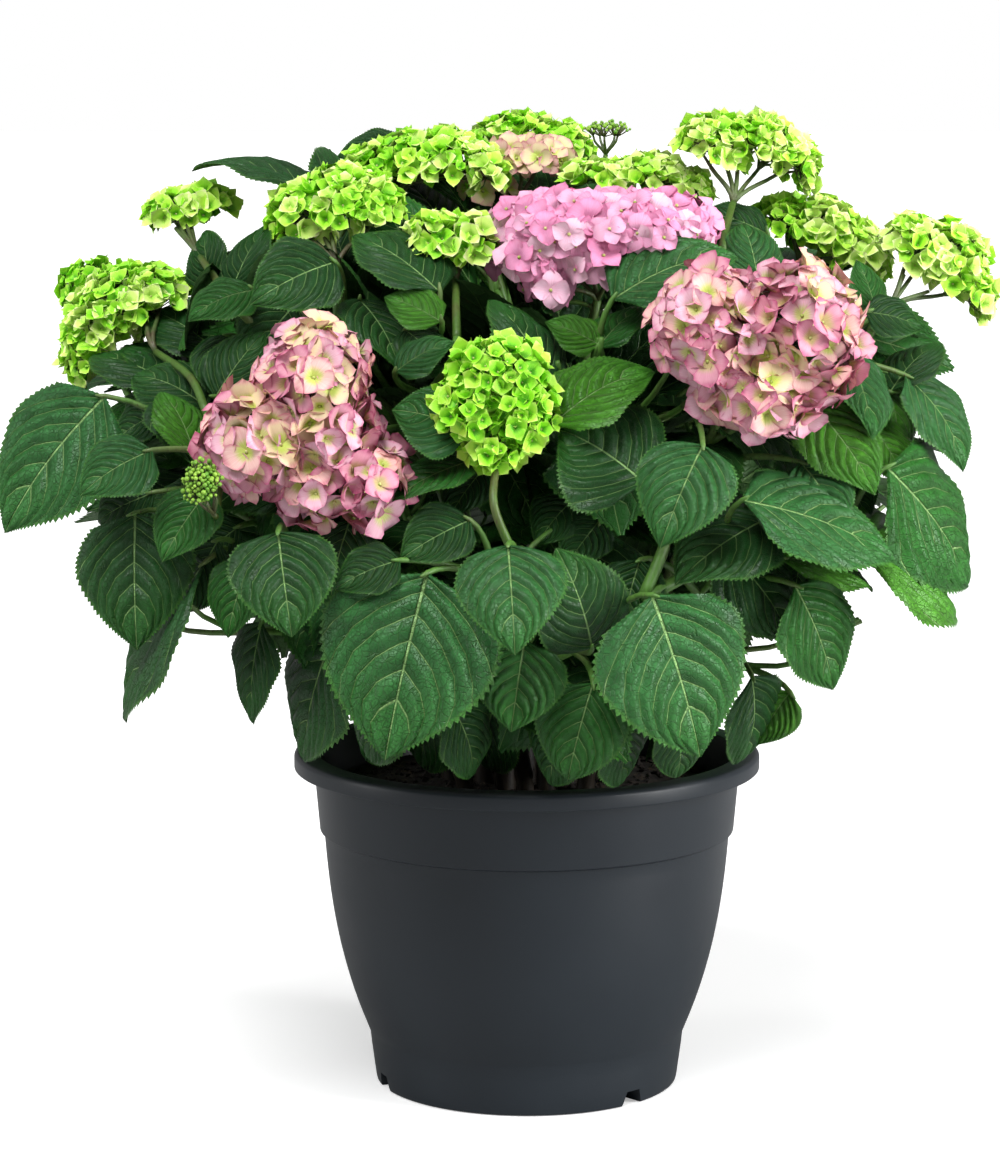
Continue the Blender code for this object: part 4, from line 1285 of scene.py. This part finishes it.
def close_gaps(eye, across, upward, reach, low, high):
    """Hangs a leaf inside the crown wherever one could look right through it from there."""
    seen = joined_leaves()
    closed = []
    for row in np.arange(low, high, GAP_STEP):
        for column in np.arange(-reach, reach, GAP_STEP):
            spot = HEART + across * float(column) + upward * float(row)
            ray = (spot - eye).normalized()
            if seen.ray_cast(eye, ray)[0] is not None:
                continue
            if any((spot - other).length < GAP_CLOSED for other in closed):
                continue
            for _ in range(8):
                middle = spot + ray * leaf_rng.uniform(-0.13, 0.04)
                length = leaf_rng.uniform(0.085, 0.120)
                away = (middle - HEART).normalized()
                ahead = (away * 0.6 - UP * leaf_rng.uniform(0.3, 0.9)
                         + Vector([leaf_rng.uniform(-0.4, 0.4) for _ in range(3)])).normalized()
                normal = (UP * 0.5 - ray * 0.8).normalized()
                normal = (normal - ahead * normal.dot(ahead)).normalized()
                foot = middle - ahead * length * 0.5
                start, start_way = nearest_joint(foot)
                if (start - foot).length < GAP_STALK and hang_blade(foot, ahead, normal, length, False):
                    add_petiole(start, start_way, foot, (ahead + away).normalized(), STALK_OF_LEAF)
                    closed.append(spot)
                    break


for _ in range(2):
    close_gaps(EYE, Vector((1, 0, 0)), UP, 0.30, -0.13, 0.26)
for turned in (50, 100, 150, 210, 260, 310):
    sideways = Vector((math.cos(math.radians(turned)), math.sin(math.radians(turned)), 0))
    outside = HEART + Vector((math.sin(math.radians(turned)), -math.cos(math.radians(turned)), 0.12)) * 2.4
    close_gaps(outside, sideways, UP, 0.22, -0.10, 0.20)
close_gaps(HEART + Vector((0.2, -0.3, 2.4)), Vector((1, 0, 0)), Vector((0, 1, 0)), 0.24, -0.20, 0.22)

square_of_map = tile_group()
leaf_material = leaf_blade()
front_piece = front_leaves.piece("leaves_front", leaf_material)
crown_piece = crown_leaves.piece("leaves_crown", leaf_material)
petiole_piece = petioles.piece("leaf_stalks", shoot_material)
for leafy in (front_piece, crown_piece):
    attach(leafy, "root")
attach(petiole_piece, "root")
FRONT_MASSES = [name for name in MASSES if "front" in name]
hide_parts(*FRONT_MASSES)
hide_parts(*(name for name in MASSES if name not in FRONT_MASSES))


# ---- The flower heads ---------------------------------------------------------------------
# Mopheads: a soft stalk opens into rays, and each ray carries many four-lobed florets. Young
# ones are lime green and cupped; they open cream, then flush pink from the rim inwards.
LOBES = {
    # parts of the big heads: centre and half sizes in image points
    "front_left": (
        (316, 388, 62, 72), (264, 442, 68, 64), (328, 432, 54, 60), (330, 476, 62, 58), (374, 482, 42, 50)),
    "front_right": ((708, 338, 62, 76), (796, 338, 68, 80), (755, 395, 66, 50)),
    "upper_pink": (
        (558, 236, 74, 50), (640, 230, 84, 44), (594, 262, 46, 36), (530, 260, 42, 40), (545, 285, 30, 31)),
    "upper_blush": ((541, 163, 37, 27), (508, 164, 26, 25), (486, 189, 31, 17)),
    "front_middle": ((498, 373, 46, 36), (470, 408, 38, 36), (521, 412, 36, 40), (496, 446, 30, 22)),
    "rear_left": ((98, 290, 38, 30),),
    "far_left": ((155, 306, 38, 38), (128, 308, 44, 42), (110, 326, 44, 42), (97, 352, 34, 37)),
    "left": ((174, 213, 28, 21), (206, 211, 33, 25)),
    "upper_left": ((302, 222, 34, 38), (340, 212, 44, 45), (374, 216, 31, 38)),
    "upper_middle": ((438, 243, 33, 31), (474, 246, 30, 31), (456, 253, 28, 20)),
    "top_left": ((373, 178, 33, 32), (411, 168, 41, 36), (455, 169, 41, 37), (487, 178, 20, 28)),
    "top_back": ((520, 143, 46, 30), (562, 153, 30, 29)),
    "top_middle": ((600, 182, 38, 20), (645, 182, 43, 26), (683, 194, 28, 22)),
    "top_right": ((714, 150, 38, 35), (757, 150, 42, 35), (790, 168, 27, 32)),
    "right": ((783, 228, 33, 31), (820, 237, 40, 38), (857, 257, 32, 32)),
    "far_right": ((912, 255, 34, 38), (945, 270, 41, 46), (966, 296, 26, 30)),
}
# The heads of each kind; the others are lime green balls.
KIND_HEADS = {
    "blushed": ("front_left", "front_right", "back_left", "back_right"),
    "peach": ("upper_blush",),
    "bright": ("upper_pink",),
    "umbrella": ("top_right", "far_right", "top_left", "upper_left", "left"),
    "cups": ("front_middle",),
}
PINK_KINDS = ("blushed", "peach", "bright")
# Where the florets opened last and are still cream: image points and a radius.
LATE_FLORETS = (
    (275, 428, 36), (332, 342, 34), (330, 395, 24), (829, 286, 30), (777, 368, 28), (728, 306, 22),
)
KINDS = {
    # reach of a floret, spacing, how far round the head they go, how steeply the sepals rise,
    # from and to, and how far their ends curl back
    "blushed": (0.0142, 0.0129, -0.35, 0.50, 1.05, 0.70),
    "bright": (0.0124, 0.0119, -0.35, 0.25, 0.75, 1.00),
    "peach": (0.0110, 0.0106, -0.35, 0.50, 1.05, 0.70),
    "lime": (0.0097, 0.0082, -0.45, 0.70, 1.25, 0.50),
    "umbrella": (0.0097, 0.0080, -0.34, 0.70, 1.25, 0.50),
    "cups": (0.0086, 0.0092, -0.60, 0.85, 1.20, 0.45),
}
# How the florets of a kind lie scattered in and out of the head's surface, and their sizes.
DEPTH_SPREADS = {"bright": (0.84, 1.08), "cups": (0.82, 1.12)}
USUAL_SPREAD = (0.90, 1.06)
STOUT_RAY, THIN_RAY = (0.0017, 0.0014), (0.0012, 0.0008)    # radii at the foot and at the end
LARGEST_FLORET, LARGEST_CUP = 1.12, 1.36
# Half the width of a sepal at shares of its length.
SEPAL_HALVES = (
    (0.0, 0.10), (0.22, 0.36), (0.44, 0.52), (0.66, 0.54), (0.84, 0.39), (0.95, 0.17), (1.0, 0.015),
)
BUD_SEPAL_HALVES = ((0.0, 0.14), (0.28, 0.45), (0.56, 0.53), (0.84, 0.29), (1.0, 0.02))
CREAM, HALF_PINK, FULL_PINK, PALE_PINK = 0, 1, 2, 3
PLAIN, VIVID, PALE, DARK = 0, 1, 2, 3
FLORET_SIZES = (1.0, 1.0, 1.14, 0.88)        # of each of those greens
USUAL_GREENS = (PLAIN, PLAIN, VIVID, VIVID, PALE, PALE, DARK)
# The mixtures of the heads whose greens are not the usual ones.
HEAD_GREENS = {
    "front_middle": (PLAIN, VIVID, DARK, DARK), "rear_left": (PLAIN, VIVID, DARK, DARK),
    "upper_left": (PLAIN, VIVID, VIVID, PALE), "right": (PLAIN, VIVID, VIVID),
    "far_left": (PLAIN, VIVID, VIVID, PALE, PALE, DARK), "top_middle": (PLAIN, VIVID, PALE, PALE),
    "top_right": (PLAIN, VIVID, PALE, PALE), "far_right": (PLAIN, VIVID, PALE, PALE),
}
# The head on the right is paler beyond this column of the image.
PALE_FROM = 812
PALER_GREENS = (PLAIN, PALE, PALE)
OPEN_EYE, LIME_EYE = 0.00125, 0.0009         # sizes of the bud in the middle of a floret
EYE_SIDES = 6


def sepal_shape(halves, columns):
    """The flat sepal: a grid of corners, a little rounded at its end."""
    flat, place_on, faces = [], [], []
    for along, half in halves:
        for column in columns:
            rounding = 0.06 * along * (1 - column ** 2)
            flat.append((column * half, along * 0.94 + rounding + 0.12 * along ** 8))
            place_on.append((abs(column), along * SECONDARIES))
    wide = len(columns)
    for row in range(len(halves) - 1):
        for column in range(wide - 1):
            corner = row * wide + column
            faces.append((corner, corner + 1, corner + wide + 1, corner + wide))
    return np.array(flat), np.array(place_on), faces


def cup_sepal(shape, length, opening, curl, spoon, lean):
    """A sepal in the round: it rises at an angle, curls back at its end and is spooned."""
    flat = shape[0]
    across, along = flat[:, 0] * length, flat[:, 1]
    steps = np.linspace(0, 1.15, 12)
    angle = opening - curl * steps
    run = np.concatenate(([0], np.cumsum(np.cos(angle[1:]) * np.diff(steps)))) * length
    rise = np.concatenate(([0], np.cumsum(np.sin(angle[1:]) * np.diff(steps)))) * length
    z = np.interp(along, steps, rise) + spoon * across ** 2 / length + lean * across
    return np.stack((across, np.interp(along, steps, run), z), axis=1)


def add_floret(spray, place, facing, size, tile, opening, curl):
    """Four sepals in a cross round an eye."""
    spin = bloom_rng.uniform(0, math.tau)
    facing = facing.normalized()
    one = facing.orthogonal().normalized()
    two = facing.cross(one)
    for petal in range(4):
        angle = spin + petal * math.pi / 2 + bloom_rng.uniform(-0.13, 0.13)
        bent = cup_sepal(
            spray.shape, length=size * bloom_rng.uniform(0.88, 1.10),
            opening=opening + bloom_rng.uniform(-0.16, 0.16), curl=curl + bloom_rng.uniform(-0.3, 0.3),
            spoon=bloom_rng.uniform(0.15, 0.75), lean=bloom_rng.uniform(-0.16, 0.16))
        ahead = one * math.cos(angle) + two * math.sin(angle)
        across = ahead.cross(facing)
        lifted = place + facing * (0.0006 * (petal % 2))
        spray.add(bent @ np.array((across, ahead, facing)) + np.array(lifted), tile)


def add_eye(points, faces, place, facing, size):
    """The small shut bud in the middle of a floret."""
    first, sides = len(points), EYE_SIDES
    one = facing.orthogonal().normalized()
    two = facing.cross(one)
    for height, wide in ((0.0, 0.55), (0.55, 1.0), (1.25, 0.75)):
        for step in range(sides):
            angle = math.tau * step / sides
            out = one * math.cos(angle) + two * math.sin(angle)
            points.append(place + facing * height * size + out * wide * size)
    points.append(place + facing * size * 1.65)
    for ring in (0, sides):
        for step in range(sides):
            here, beside = first + ring + step, first + ring + (step + 1) % sides
            faces.append((here, beside, beside + sides, here + sides))
    top = first + 2 * sides
    for step in range(sides):
        faces.append((top + step, top + (step + 1) % sides, top + sides))


def sepal_group():
    """Papery sepals: a colour at the heart, one over the body and one at the rim, finely veined."""
    group, given, sent = start_group(
        "papery_sepal", {"Heart": "Color", "Body": "Color", "Rim": "Color"},
        {"Colour": "Color", "Veins": "Float"})
    across, along, square = read_tiles(group)
    side = put(group, "SeparateXYZ", {0: put(group, "UVMap", uv_map="Veins").outputs[0]}).outputs[0]
    fan = sum_up(group, "DIVIDE", across, sum_up(group, "ADD", along, 0.25))
    fan_place = put(group, "CombineXYZ", {0: sum_up(group, "MULTIPLY", fan, 26.0), 1: along, 2: square})
    streaks = grain_of(group, fan_place.outputs[0], 1.6, 3.0)
    inwards = sum_up(group, "MULTIPLY", sum_up(group, "POWER", side, 2.0), 0.22)
    strayed = sum_up(group, "MULTIPLY", sum_up(group, "SUBTRACT", streaks, 0.5), 0.30)
    outer = sum_up(group, "ADD", sum_up(group, "ADD", along, inwards), strayed)
    shown = blend_colour(group, spread(group, outer, 0.24, 0.58), given["Heart"], given["Body"])
    edge = sum_up(group, "MAXIMUM", along, side)
    shown = blend_colour(group, spread(group, edge, 0.72, 0.99), shown, given["Rim"])
    lines = colours(group, streaks, ((0.3, (0.40,) * 3), (0.7, (0.60,) * 3)))
    group.links.new(blend_colour(group, 0.8, shown, lines, "OVERLAY"), sent["Colour"])
    group.links.new(streaks, sent["Veins"])
    return group


def sepal_skin(name, roughness, hearts, bodies, rims):
    """The sepals of one kind of head, each of their colours in four tints."""
    material, tree, shader = start_material(name, roughness)
    square = read_tiles(tree)["Square"]
    tints = {"Heart": hearts, "Body": bodies, "Rim": rims}
    wires = {part: dealt(tree, square, choices) for part, choices in tints.items()}
    sepal = put(tree, "Group", wires, node_tree=papery_sepal).outputs
    feed(tree, shader, colour=sepal["Colour"], normal=bump(tree, sepal["Veins"], 0.4, 0.0005))
    return material


def bud_group():
    """The skin of a shut bud, dappled between two tints."""
    group, given, sent = start_group("bud_dapple", {"Dark": "Color", "Light": "Color"}, {"Colour": "Color"})
    place = put(group, "TexCoord").outputs["Object"]
    patches = put(group, "MapRange", {0: grain_of(group, place, 160.0, 2.0), 1: 0.35, 2: 0.65}).outputs[0]
    group.links.new(blend_colour(group, patches, given["Dark"], given["Light"]), sent["Colour"])
    return group


def bud_skin(name, dark, light):
    material, tree, shader = start_material(name, 0.5)
    dapple = put(tree, "Group", {"Dark": (*dark, 1), "Light": (*light, 1)}, node_tree=bud_dapple)
    feed(tree, shader, colour=dapple.outputs["Colour"])
    return material


def kind_of(head_name):
    for kind, names in KIND_HEADS.items():
        if head_name in names:
            return kind
    return "lime"


def add_stalk(head_name):
    """The stalk of a head, if it has one of its own. Gives the fork where its rays start."""
    if head_name in FORKS:
        line = smooth_line([off_image(*spot) for spot in FORKS[head_name]], 5)
        stalks.add_tapered(line, 0.0029, 0.0023, 9)
        return line[-1]
    if head_name in STALKED:
        line = smooth_line(stalk_knots(head_name), 3)[:-3]
        stalks.add_tapered(line, 0.0030, 0.0023, 9)
        return line[-1]
    return shoot_tops[head_name]


def head_lobes(head_name, shrink):
    """The lobes of a head, as middles and half sizes, drawn in to leave room for the florets."""
    middle, half = middle_and_half("head_" + head_name)
    lobes = []
    scale_here = (EYE - middle).length / EYE_REACH
    for across, down, half_across, half_down in LOBES.get(head_name, ()):
        lobe_half = Vector((half_across * scale_here, half.y * 0.92, half_down * scale_here))
        lobes.append((off_image(across, down, middle.y), lobe_half))
    if not lobes:
        lobes.append((middle, half))
    return [(lobe_middle, lobe_half - Vector((shrink,) * 3)) for lobe_middle, lobe_half in lobes]


def add_rays(fork, axis, lobes, count, widest):
    """Stout rays from the fork to a few nodes and thin ones on from there. Gives their ends."""
    ends = []
    for way in even_points(count):
        if way.dot(axis) > widest + 0.20:
            lobe_middle, lobe_half = lobes[len(ends) % len(lobes)]
            ends.append(lobe_middle + stretched(way, lobe_half) * 0.66)
    nodes = [fork.lerp(end, 0.62) for end in ends[::4]]
    for node in nodes:
        leaves_fork = ((node - fork).normalized() + axis * 0.9).normalized()
        rays.add_tapered(arching(fork, leaves_fork, node, (node - fork).normalized(), 5), *STOUT_RAY, 6)
    for end in ends:
        node = nearest(nodes, end)
        rays.add_tapered(
            arching(node, (node - fork).normalized(), end, (end - node).normalized(), 3), *THIN_RAY, 5)
    return ends


def buried(place, own_lobe, lobes):
    """Whether a place on one lobe of a head lies inside another."""
    for number, (middle, half) in enumerate(lobes):
        if number != own_lobe and off_centre(place, middle, half) < 0.86:
            return True
    return False


def pink_tint(kind, place):
    across, down = on_image(place)
    late = any(math.hypot(across - x, down - y) < near for x, y, near in LATE_FLORETS)
    if kind == "peach":
        return bloom_rng.choice((CREAM, CREAM, HALF_PINK))
    if kind == "bright":
        return bloom_rng.choice((CREAM, HALF_PINK, FULL_PINK, PALE_PINK))
    if late and place.y < 0:
        return bloom_rng.choice((CREAM, CREAM, HALF_PINK, PALE_PINK))
    return bloom_rng.choice((HALF_PINK, FULL_PINK, FULL_PINK, PALE_PINK, PALE_PINK))


def green_tint(head_name, place):
    if head_name == "right" and on_image(place)[0] > PALE_FROM:
        return bloom_rng.choice(PALER_GREENS)
    return bloom_rng.choice(HEAD_GREENS.get(head_name, USUAL_GREENS))


def add_head(head_name):
    """An open head: florets spread over its lobes, each on a thread from the nearest ray."""
    axis = head_axis(head_name)
    kind = kind_of(head_name)
    pink = kind in PINK_KINDS
    size, spacing, widest, least_rise, most_rise, curl = KINDS[kind]
    fork = add_stalk(head_name)
    lobes = head_lobes(head_name, size * (0.55 if pink else 0.45))
    ray_ends = add_rays(fork, axis, lobes, 34 if kind == "umbrella" else 24, widest)
    shells = [(number, middle, half) for number, (middle, half) in enumerate(lobes)]
    if kind == "cups":
        shells += [(number, middle, half * 0.80) for number, middle, half in shells]
    for lobe, middle, half in shells:
        a, b, c = half
        area = 4 * math.pi * (((a * b) ** 1.6 + (a * c) ** 1.6 + (b * c) ** 1.6) / 3) ** (1 / 1.6)
        for way in even_points(int(area / spacing ** 2)):
            outward = Vector(x / y for x, y in zip(way, half)).normalized()
            if outward.dot(axis) < widest:
                continue
            depth = bloom_rng.uniform(*DEPTH_SPREADS.get(kind, USUAL_SPREAD))
            place = middle + stretched(way, half) * depth
            if buried(place, lobe, lobes):
                continue
            jitter = Vector([bloom_rng.gauss(0, 0.30) for _ in range(3)])
            facing = (outward + jitter + axis * (0.0 if pink else 0.45)).normalized()
            view = (EYE - place).normalized()
            if kind in ("bright", "peach") or head_name == "left":
                facing = (facing + view * max(0.0, 0.3 + outward.dot(view))).normalized()
            own = size * bloom_rng.uniform(0.74, LARGEST_CUP if kind == "cups" else LARGEST_FLORET)
            opening = bloom_rng.uniform(least_rise, most_rise)
            if pink:
                spray = bright_spray if kind == "bright" else blush_spray
                add_floret(spray, place, facing, own, pink_tint(kind, place), opening, curl)
                add_eye(eye_points, eye_faces, place + facing * 0.0006, facing, OPEN_EYE)
            else:
                tint = green_tint(head_name, place)
                add_floret(lime_spray, place, facing, own * FLORET_SIZES[tint], tint, opening, curl)
                add_eye(eye_points, eye_faces, place + facing * 0.0004, facing, LIME_EYE)
            ray = nearest(ray_ends, place)
            line = arching(ray, (place - ray).normalized(), place, facing, 2)
            rays.add(line, (0.0006, 0.0005, 0.0005), 3)


def add_young_head(middle, half, axis, buds):
    """A head still shut: a fist of round green buds on short rays, on a stalk of its own."""
    def detour(joint):
        return (joint[0] - middle).length + 0.6 * max(0.0, middle.y - joint[0].y)
    start, start_way = min(joints, key=detour)
    fork = middle - axis * (half.z + 0.010)
    line = arching(start, (start_way + (fork - start).normalized()).normalized(), fork, axis, 8)
    stalks.add_tapered(line, 0.0022, 0.0017, 7)
    side = axis.orthogonal().normalized()
    branches = []
    for step in range(5):
        angle = math.tau * step / 5
        reach = (side * math.cos(angle) + axis.cross(side) * math.sin(angle)) * half.x * 0.55
        branches.append(middle + reach - axis * half.z * 0.6)
        line = arching(fork, (axis + reach.normalized() * 0.5).normalized(), branches[-1], axis, 4)
        rays.add_tapered(line, *THIN_RAY, 5)
    for way in even_points(buds):
        if way.dot(axis) < -0.15:
            continue
        place = middle + stretched(way, half) * bloom_rng.uniform(0.62, 1.08)
        facing = (way + axis * 0.6).normalized()
        add_eye(young_points, young_faces, place, facing, bloom_rng.uniform(0.0010, 0.0018))
        branch = nearest(branches, place)
        line = arching(branch, (place - branch).normalized(), place, facing, 2)
        rays.add_tapered(line, 0.0006, 0.0004, 3)


broad_sepal = sepal_shape(SEPAL_HALVES, (-1.0, -0.5, 0.0, 0.5, 1.0))
bud_sepal = sepal_shape(BUD_SEPAL_HALVES, (-1.0, 0.0, 1.0))
blush_spray, bright_spray, lime_spray = Spray(broad_sepal), Spray(broad_sepal), Spray(bud_sepal)
eye_points, eye_faces = [], []
young_points, young_faces = [], []
rays, stalks = Bundle(), Bundle()
bloom_rng = random.Random(19)
for head_name in HEADS:
    add_head(head_name)
add_young_head(
    on_crown(203, 486, 0.034), Vector((0.011, 0.010, 0.015)), Vector((-0.2, -0.6, 0.75)).normalized(), 250)
add_young_head(off_image(606, 131, 0.060), Vector((0.016, 0.014, 0.006)), UP, 80)

papery_sepal, bud_dapple = sepal_group(), bud_group()
blush_piece = blush_spray.piece("florets_blushed", sepal_skin(
    "blushed_sepals", 0.6,
    ((0.55, 0.68, 0.12), (0.50, 0.58, 0.12), (0.52, 0.42, 0.18), (0.56, 0.58, 0.20)),
    ((0.77, 0.62, 0.38), (0.79, 0.48, 0.44), (0.69, 0.30, 0.39), (0.76, 0.43, 0.52)),
    ((0.74, 0.38, 0.36), (0.66, 0.25, 0.30), (0.52, 0.12, 0.23), (0.64, 0.24, 0.36))))
# The bright sepals' hearts are darker pink than their bodies: painted shade in the cups of the florets.
bright_piece = bright_spray.piece("florets_bright", sepal_skin(
    "bright_sepals", 0.6,
    ((0.70, 0.33, 0.49), (0.67, 0.28, 0.44), (0.62, 0.21, 0.38), (0.74, 0.40, 0.54)),
    ((0.84, 0.42, 0.60), (0.81, 0.36, 0.56), (0.76, 0.28, 0.48), (0.87, 0.52, 0.67)),
    ((0.83, 0.35, 0.55), (0.79, 0.29, 0.49), (0.71, 0.21, 0.40), (0.87, 0.46, 0.62))))
lime_piece = lime_spray.piece("florets_lime", sepal_skin(
    "lime_sepals", 0.55,
    ((0.20, 0.56, 0.02), (0.15, 0.49, 0.01), (0.36, 0.66, 0.07), (0.10, 0.42, 0.01)),
    ((0.49, 0.90, 0.06), (0.37, 0.82, 0.03), (0.65, 0.92, 0.19), (0.26, 0.72, 0.01)),
    ((0.68, 0.95, 0.18), (0.58, 0.93, 0.13), (0.83, 0.92, 0.42), (0.46, 0.88, 0.08))))
eye_material = bud_skin("floret_eyes", (0.36, 0.46, 0.08), (0.62, 0.58, 0.26))
eye_piece = mesh_piece("floret_eyes", eye_points, eye_faces, eye_material)
young_material = bud_skin("shut_buds", (0.110, 0.300, 0.020), (0.330, 0.560, 0.060))
young_piece = mesh_piece("young_buds", young_points, young_faces, young_material)
ray_piece = rays.piece("flower_rays", stem_skin("ray_skin", (0.070, 0.115, 0.030), (0.080, 0.064, 0.032)))
stalk_piece = stalks.piece(
    "flower_stalks", stem_skin("stalk_skin", (0.055, 0.125, 0.014), (0.068, 0.090, 0.018)))
for bloom, slot_name in (
        (blush_piece, "petal_pink"), (bright_piece, "petal_pink"), (lime_piece, "petal_lime"),
        (eye_piece, "petal_lime"), (young_piece, "petal_lime"), (ray_piece, "cane"),
        (stalk_piece, "cane")):
    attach(bloom, "root")
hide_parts(*("head_" + name for name in HEADS if kind_of(name) in ("blushed", "peach")))
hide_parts(*("head_" + name for name in HEADS if kind_of(name) == "bright"))
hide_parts(*("head_" + name for name in HEADS if kind_of(name) not in PINK_KINDS))
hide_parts(*("stalk_" + name for name in STALKED))


# ---- The studio ---------------------------------------------------------------------------
# A plain pale floor under soft white light: a broad panel above and in front, and one on each
# side, the right one brighter. The camera stands at a grown person's chest height.
SENSOR = 36.0                # width of the camera's sensor, in millimetres
BACKDROP_GLOW = 0.34         # how much light the white round about gives
FLOOR_GREY = 0.38            # what the floor throws back


def floor_paint():
    """White to look at, but greyer as a light source, as a floor under a dense crown is."""
    material, tree, shader = start_material("pale_floor", 0.9)
    place = put(tree, "TexCoord").outputs["Object"]
    patches = grain_of(tree, place, 2.0, 2.0)
    white = colours(tree, patches, ((0.3, (0.90,) * 3), (0.7, (0.93,) * 3)))
    looked_at = put(tree, "LightPath").outputs["Is Camera Ray"]
    feed(tree, shader, colour=blend_colour(tree, looked_at, (*(FLOOR_GREY,) * 3, 1), white))
    shader.inputs["Emission Color"].default_value = (1, 1, 1, 1)
    glow = sum_up(tree, "MULTIPLY", looked_at, 0.36)
    tree.links.new(glow, shader.inputs["Emission Strength"])
    return material


def add_panel(name, place, width, height, power, aim):
    lamp = bpy.data.lights.new(name, "AREA")
    lamp.shape = "RECTANGLE"
    lamp.size = width
    lamp.size_y = height
    lamp.energy = power
    panel = bpy.data.objects.new(name, lamp)
    panel.location = place
    panel.rotation_euler = (Vector(aim) - Vector(place)).to_track_quat("-Z", "Y").to_euler()
    bpy.context.scene.collection.objects.link(panel)


bpy.ops.object.select_all(action="DESELECT")
bpy.ops.mesh.primitive_plane_add(size=60.0, location=(0, 0, -0.0005))
floor = bpy.context.object
floor.name = "floor"
floor.data.materials.append(floor_paint())

world = bpy.data.worlds.new("white_studio")
world.use_nodes = True
backdrop = world.node_tree.nodes["Background"]
backdrop.inputs["Color"].default_value = (1, 1, 1, 1)
looked_at = put(world.node_tree, "LightPath").outputs["Is Camera Ray"]
strength = put(world.node_tree, "MapRange", {0: looked_at, 3: BACKDROP_GLOW, 4: 1.0})
world.node_tree.links.new(strength.outputs[0], backdrop.inputs["Strength"])
bpy.context.scene.world = world
sky = bpy.data.lights.new("light_overhead", "SUN")
sky.energy = 3.2
sky.angle = math.radians(35)
overhead = bpy.data.objects.new("light_overhead", sky)
overhead.rotation_euler = Vector((0.20, 0.62, -1.0)).to_track_quat("-Z", "Y").to_euler()
bpy.context.scene.collection.objects.link(overhead)
add_panel("light_right", (2.0, -0.9, 0.9), 0.6, 1.8, 62, (0, 0, 0.3))
add_panel("light_left", (-2.2, -0.4, 0.8), 0.6, 1.8, 12, (0, 0, 0.3))

lens = bpy.data.cameras.new("camera")
lens.sensor_width = SENSOR
lens.lens = EYE_REACH * SENSOR / IMAGE_HEIGHT
camera = bpy.data.objects.new("camera", lens)
camera.location = EYE
camera.rotation_euler = (math.pi / 2 - EYE_DOWN, 0, 0)
bpy.context.scene.collection.objects.link(camera)
bpy.context.scene.camera = camera
bpy.context.scene.view_settings.view_transform = "Standard"


# ---- The scene brought up to date ---------------------------------------------------------
bpy.context.view_layer.update()
